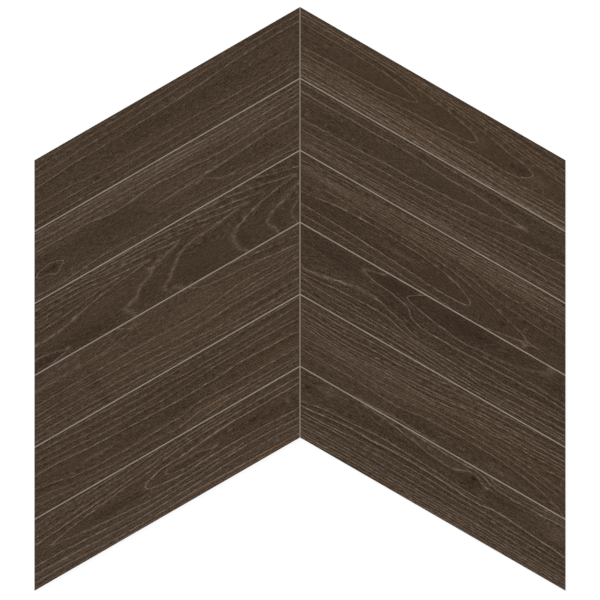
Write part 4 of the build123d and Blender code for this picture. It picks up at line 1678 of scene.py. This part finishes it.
@dataclass
class Studio:
    """Pale floor, plain soft light, and a camera straight above the sheet.

    Attributes:
        lens, sensor, far: the camera's, in millimetres, and how far it sees, in metres.
        frame_width, look_at: the width that the picture takes in, and its middle, in millimetres.
        face_height: the planks' thickness, in millimetres.
        floor_size: the floor's side, in metres.
        floor_opening: the size of the floor's opening, as a share of the sheet's.
        sheet_half, slope: half the sheet's size, in millimetres, and its planks' slope.
        floor_shade, floor_glow: the floor's own lightness, and its glow for the camera.
        sky, sun: the strengths of the two lights.
        sun_spread, sun_turn: the sun's width, and how it is turned from straight down.
    """

    lens: float = 150.0
    sensor: float = 36.0
    far: float = 100.0
    frame_width: float = 784.2
    look_at: tuple[float, float] = (0.0, -1.5)
    face_height: float = 9.0
    floor_size: float = 30.0
    floor_opening: float = 0.999
    sheet_half: tuple[float, float] = (347.16, 381.67)
    slope: float = math.radians(30.0)
    floor_shade: float = 0.2
    floor_glow: float = 0.86
    sky: float = 0.62
    sun: float = 1.2
    sun_spread: float = math.radians(40.0)
    sun_turn: tuple[float, float, float] = (math.radians(-24.0), math.radians(-24.0), 0.0)

    def camera(self) -> None:
        """Looks straight down, with the arrow pointing up, from where the frame width fits."""
        data = bpy.data.cameras.new("camera")
        data.lens = self.lens
        data.sensor_width = self.sensor
        distance = self.frame_width * self.lens / self.sensor
        data.clip_end = self.far
        holder = bpy.data.objects.new("camera", data)
        holder.location = (self.look_at[0] * MM, self.look_at[1] * MM, (self.face_height + distance) * MM)
        bpy.context.scene.collection.objects.link(holder)
        bpy.context.scene.camera = holder

    def lights(self) -> None:
        """An even sky and one broad, soft sun from the upper left."""
        data = bpy.data.lights.new("sun", "SUN")
        data.energy = self.sun
        data.angle = self.sun_spread
        holder = bpy.data.objects.new("sun", data)
        holder.rotation_euler = self.sun_turn
        bpy.context.scene.collection.objects.link(holder)
        world = bpy.data.worlds.new("sky")
        bpy.context.scene.world = world
        n = Nodes(world)
        strength = n.add("ShaderNodeMix")
        n.feed(strength.inputs["Factor"], n.showing_white())
        strength.inputs["A"].default_value = self.sky
        strength.inputs["B"].default_value = 1.0
        background = n.add("ShaderNodeBackground")
        background.inputs[0].default_value = (1, 1, 1, 1)
        n.feed(background.inputs[1], strength.outputs[0])
        output = n.add("ShaderNodeOutputWorld")
        n.feed(output.inputs[0], background.outputs[0])

    def floor(self) -> None:
        """A white floor that glows for the camera alone and still takes the sheet's shadow.

        It is a square with the sheet's arrow, a hair smaller, left open, so that the keyed back shows
        from below.
        """
        half = self.floor_size / 2
        reach, top = (size * MM * self.floor_opening for size in self.sheet_half)
        rise = reach * math.tan(self.slope)
        square = [(-half, -half, 0), (half, -half, 0), (half, half, 0), (-half, half, 0)]
        right = [(reach, top - rise, 0), (reach, -top, 0)]
        left = [(-reach, -top, 0), (-reach, top - rise, 0)]
        arrow = [(0, top, 0), *right, (0, rise - top, 0), *left]
        faces = [(0, 1, 6, 7, 8), (1, 2, 5, 6), (2, 4, 5), (2, 3, 4), (3, 9, 4), (3, 0, 8, 9)]
        mesh = bpy.data.meshes.new("floor")
        mesh.from_pydata(square + arrow, [], faces)
        n = Nodes(bpy.data.materials.new("floor"))
        diffuse = n.add("ShaderNodeBsdfDiffuse")
        diffuse.inputs[0].default_value = (self.floor_shade, self.floor_shade, self.floor_shade, 1)
        glow = n.add("ShaderNodeEmission")
        n.feed(glow.inputs[1], n.times(n.showing_white(), self.floor_glow))
        both = n.add("ShaderNodeAddShader")
        n.feed(both.inputs[0], diffuse.outputs[0])
        n.feed(both.inputs[1], glow.outputs[0])
        output = n.add("ShaderNodeOutputMaterial")
        n.feed(output.inputs[0], both.outputs[0])
        mesh.materials.append(n.owner)
        floor = bpy.data.objects.new("floor", mesh)
        bpy.context.scene.collection.objects.link(floor)


def main() -> None:
    """Builds the sheet and its studio."""
    logging.basicConfig(level=logging.INFO, format="%(name)s: %(message)s")
    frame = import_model()
    bpy.context.scene.view_settings.view_transform = "Standard"
    studio = Studio()
    studio.camera()
    studio.lights()
    studio.floor()
    finishes = (WoodPrintFinish().material(), FiredBodyFinish().material())
    for seed, (node, design) in enumerate(PRINTS.items()):
        side = Side.LEFT if "left" in node else Side.RIGHT
        piece = Plank(node, side, design, seed).build(finishes)
        LOG.info("%s: %d faces", piece.name, len(piece.data.polygons))
    filler = JointFiller()
    filler.build(frame["nodes"][filler.node], CementFinish())
    LOG.info("%s dressed", filler.node)


if __name__ == "__main__":
    main()
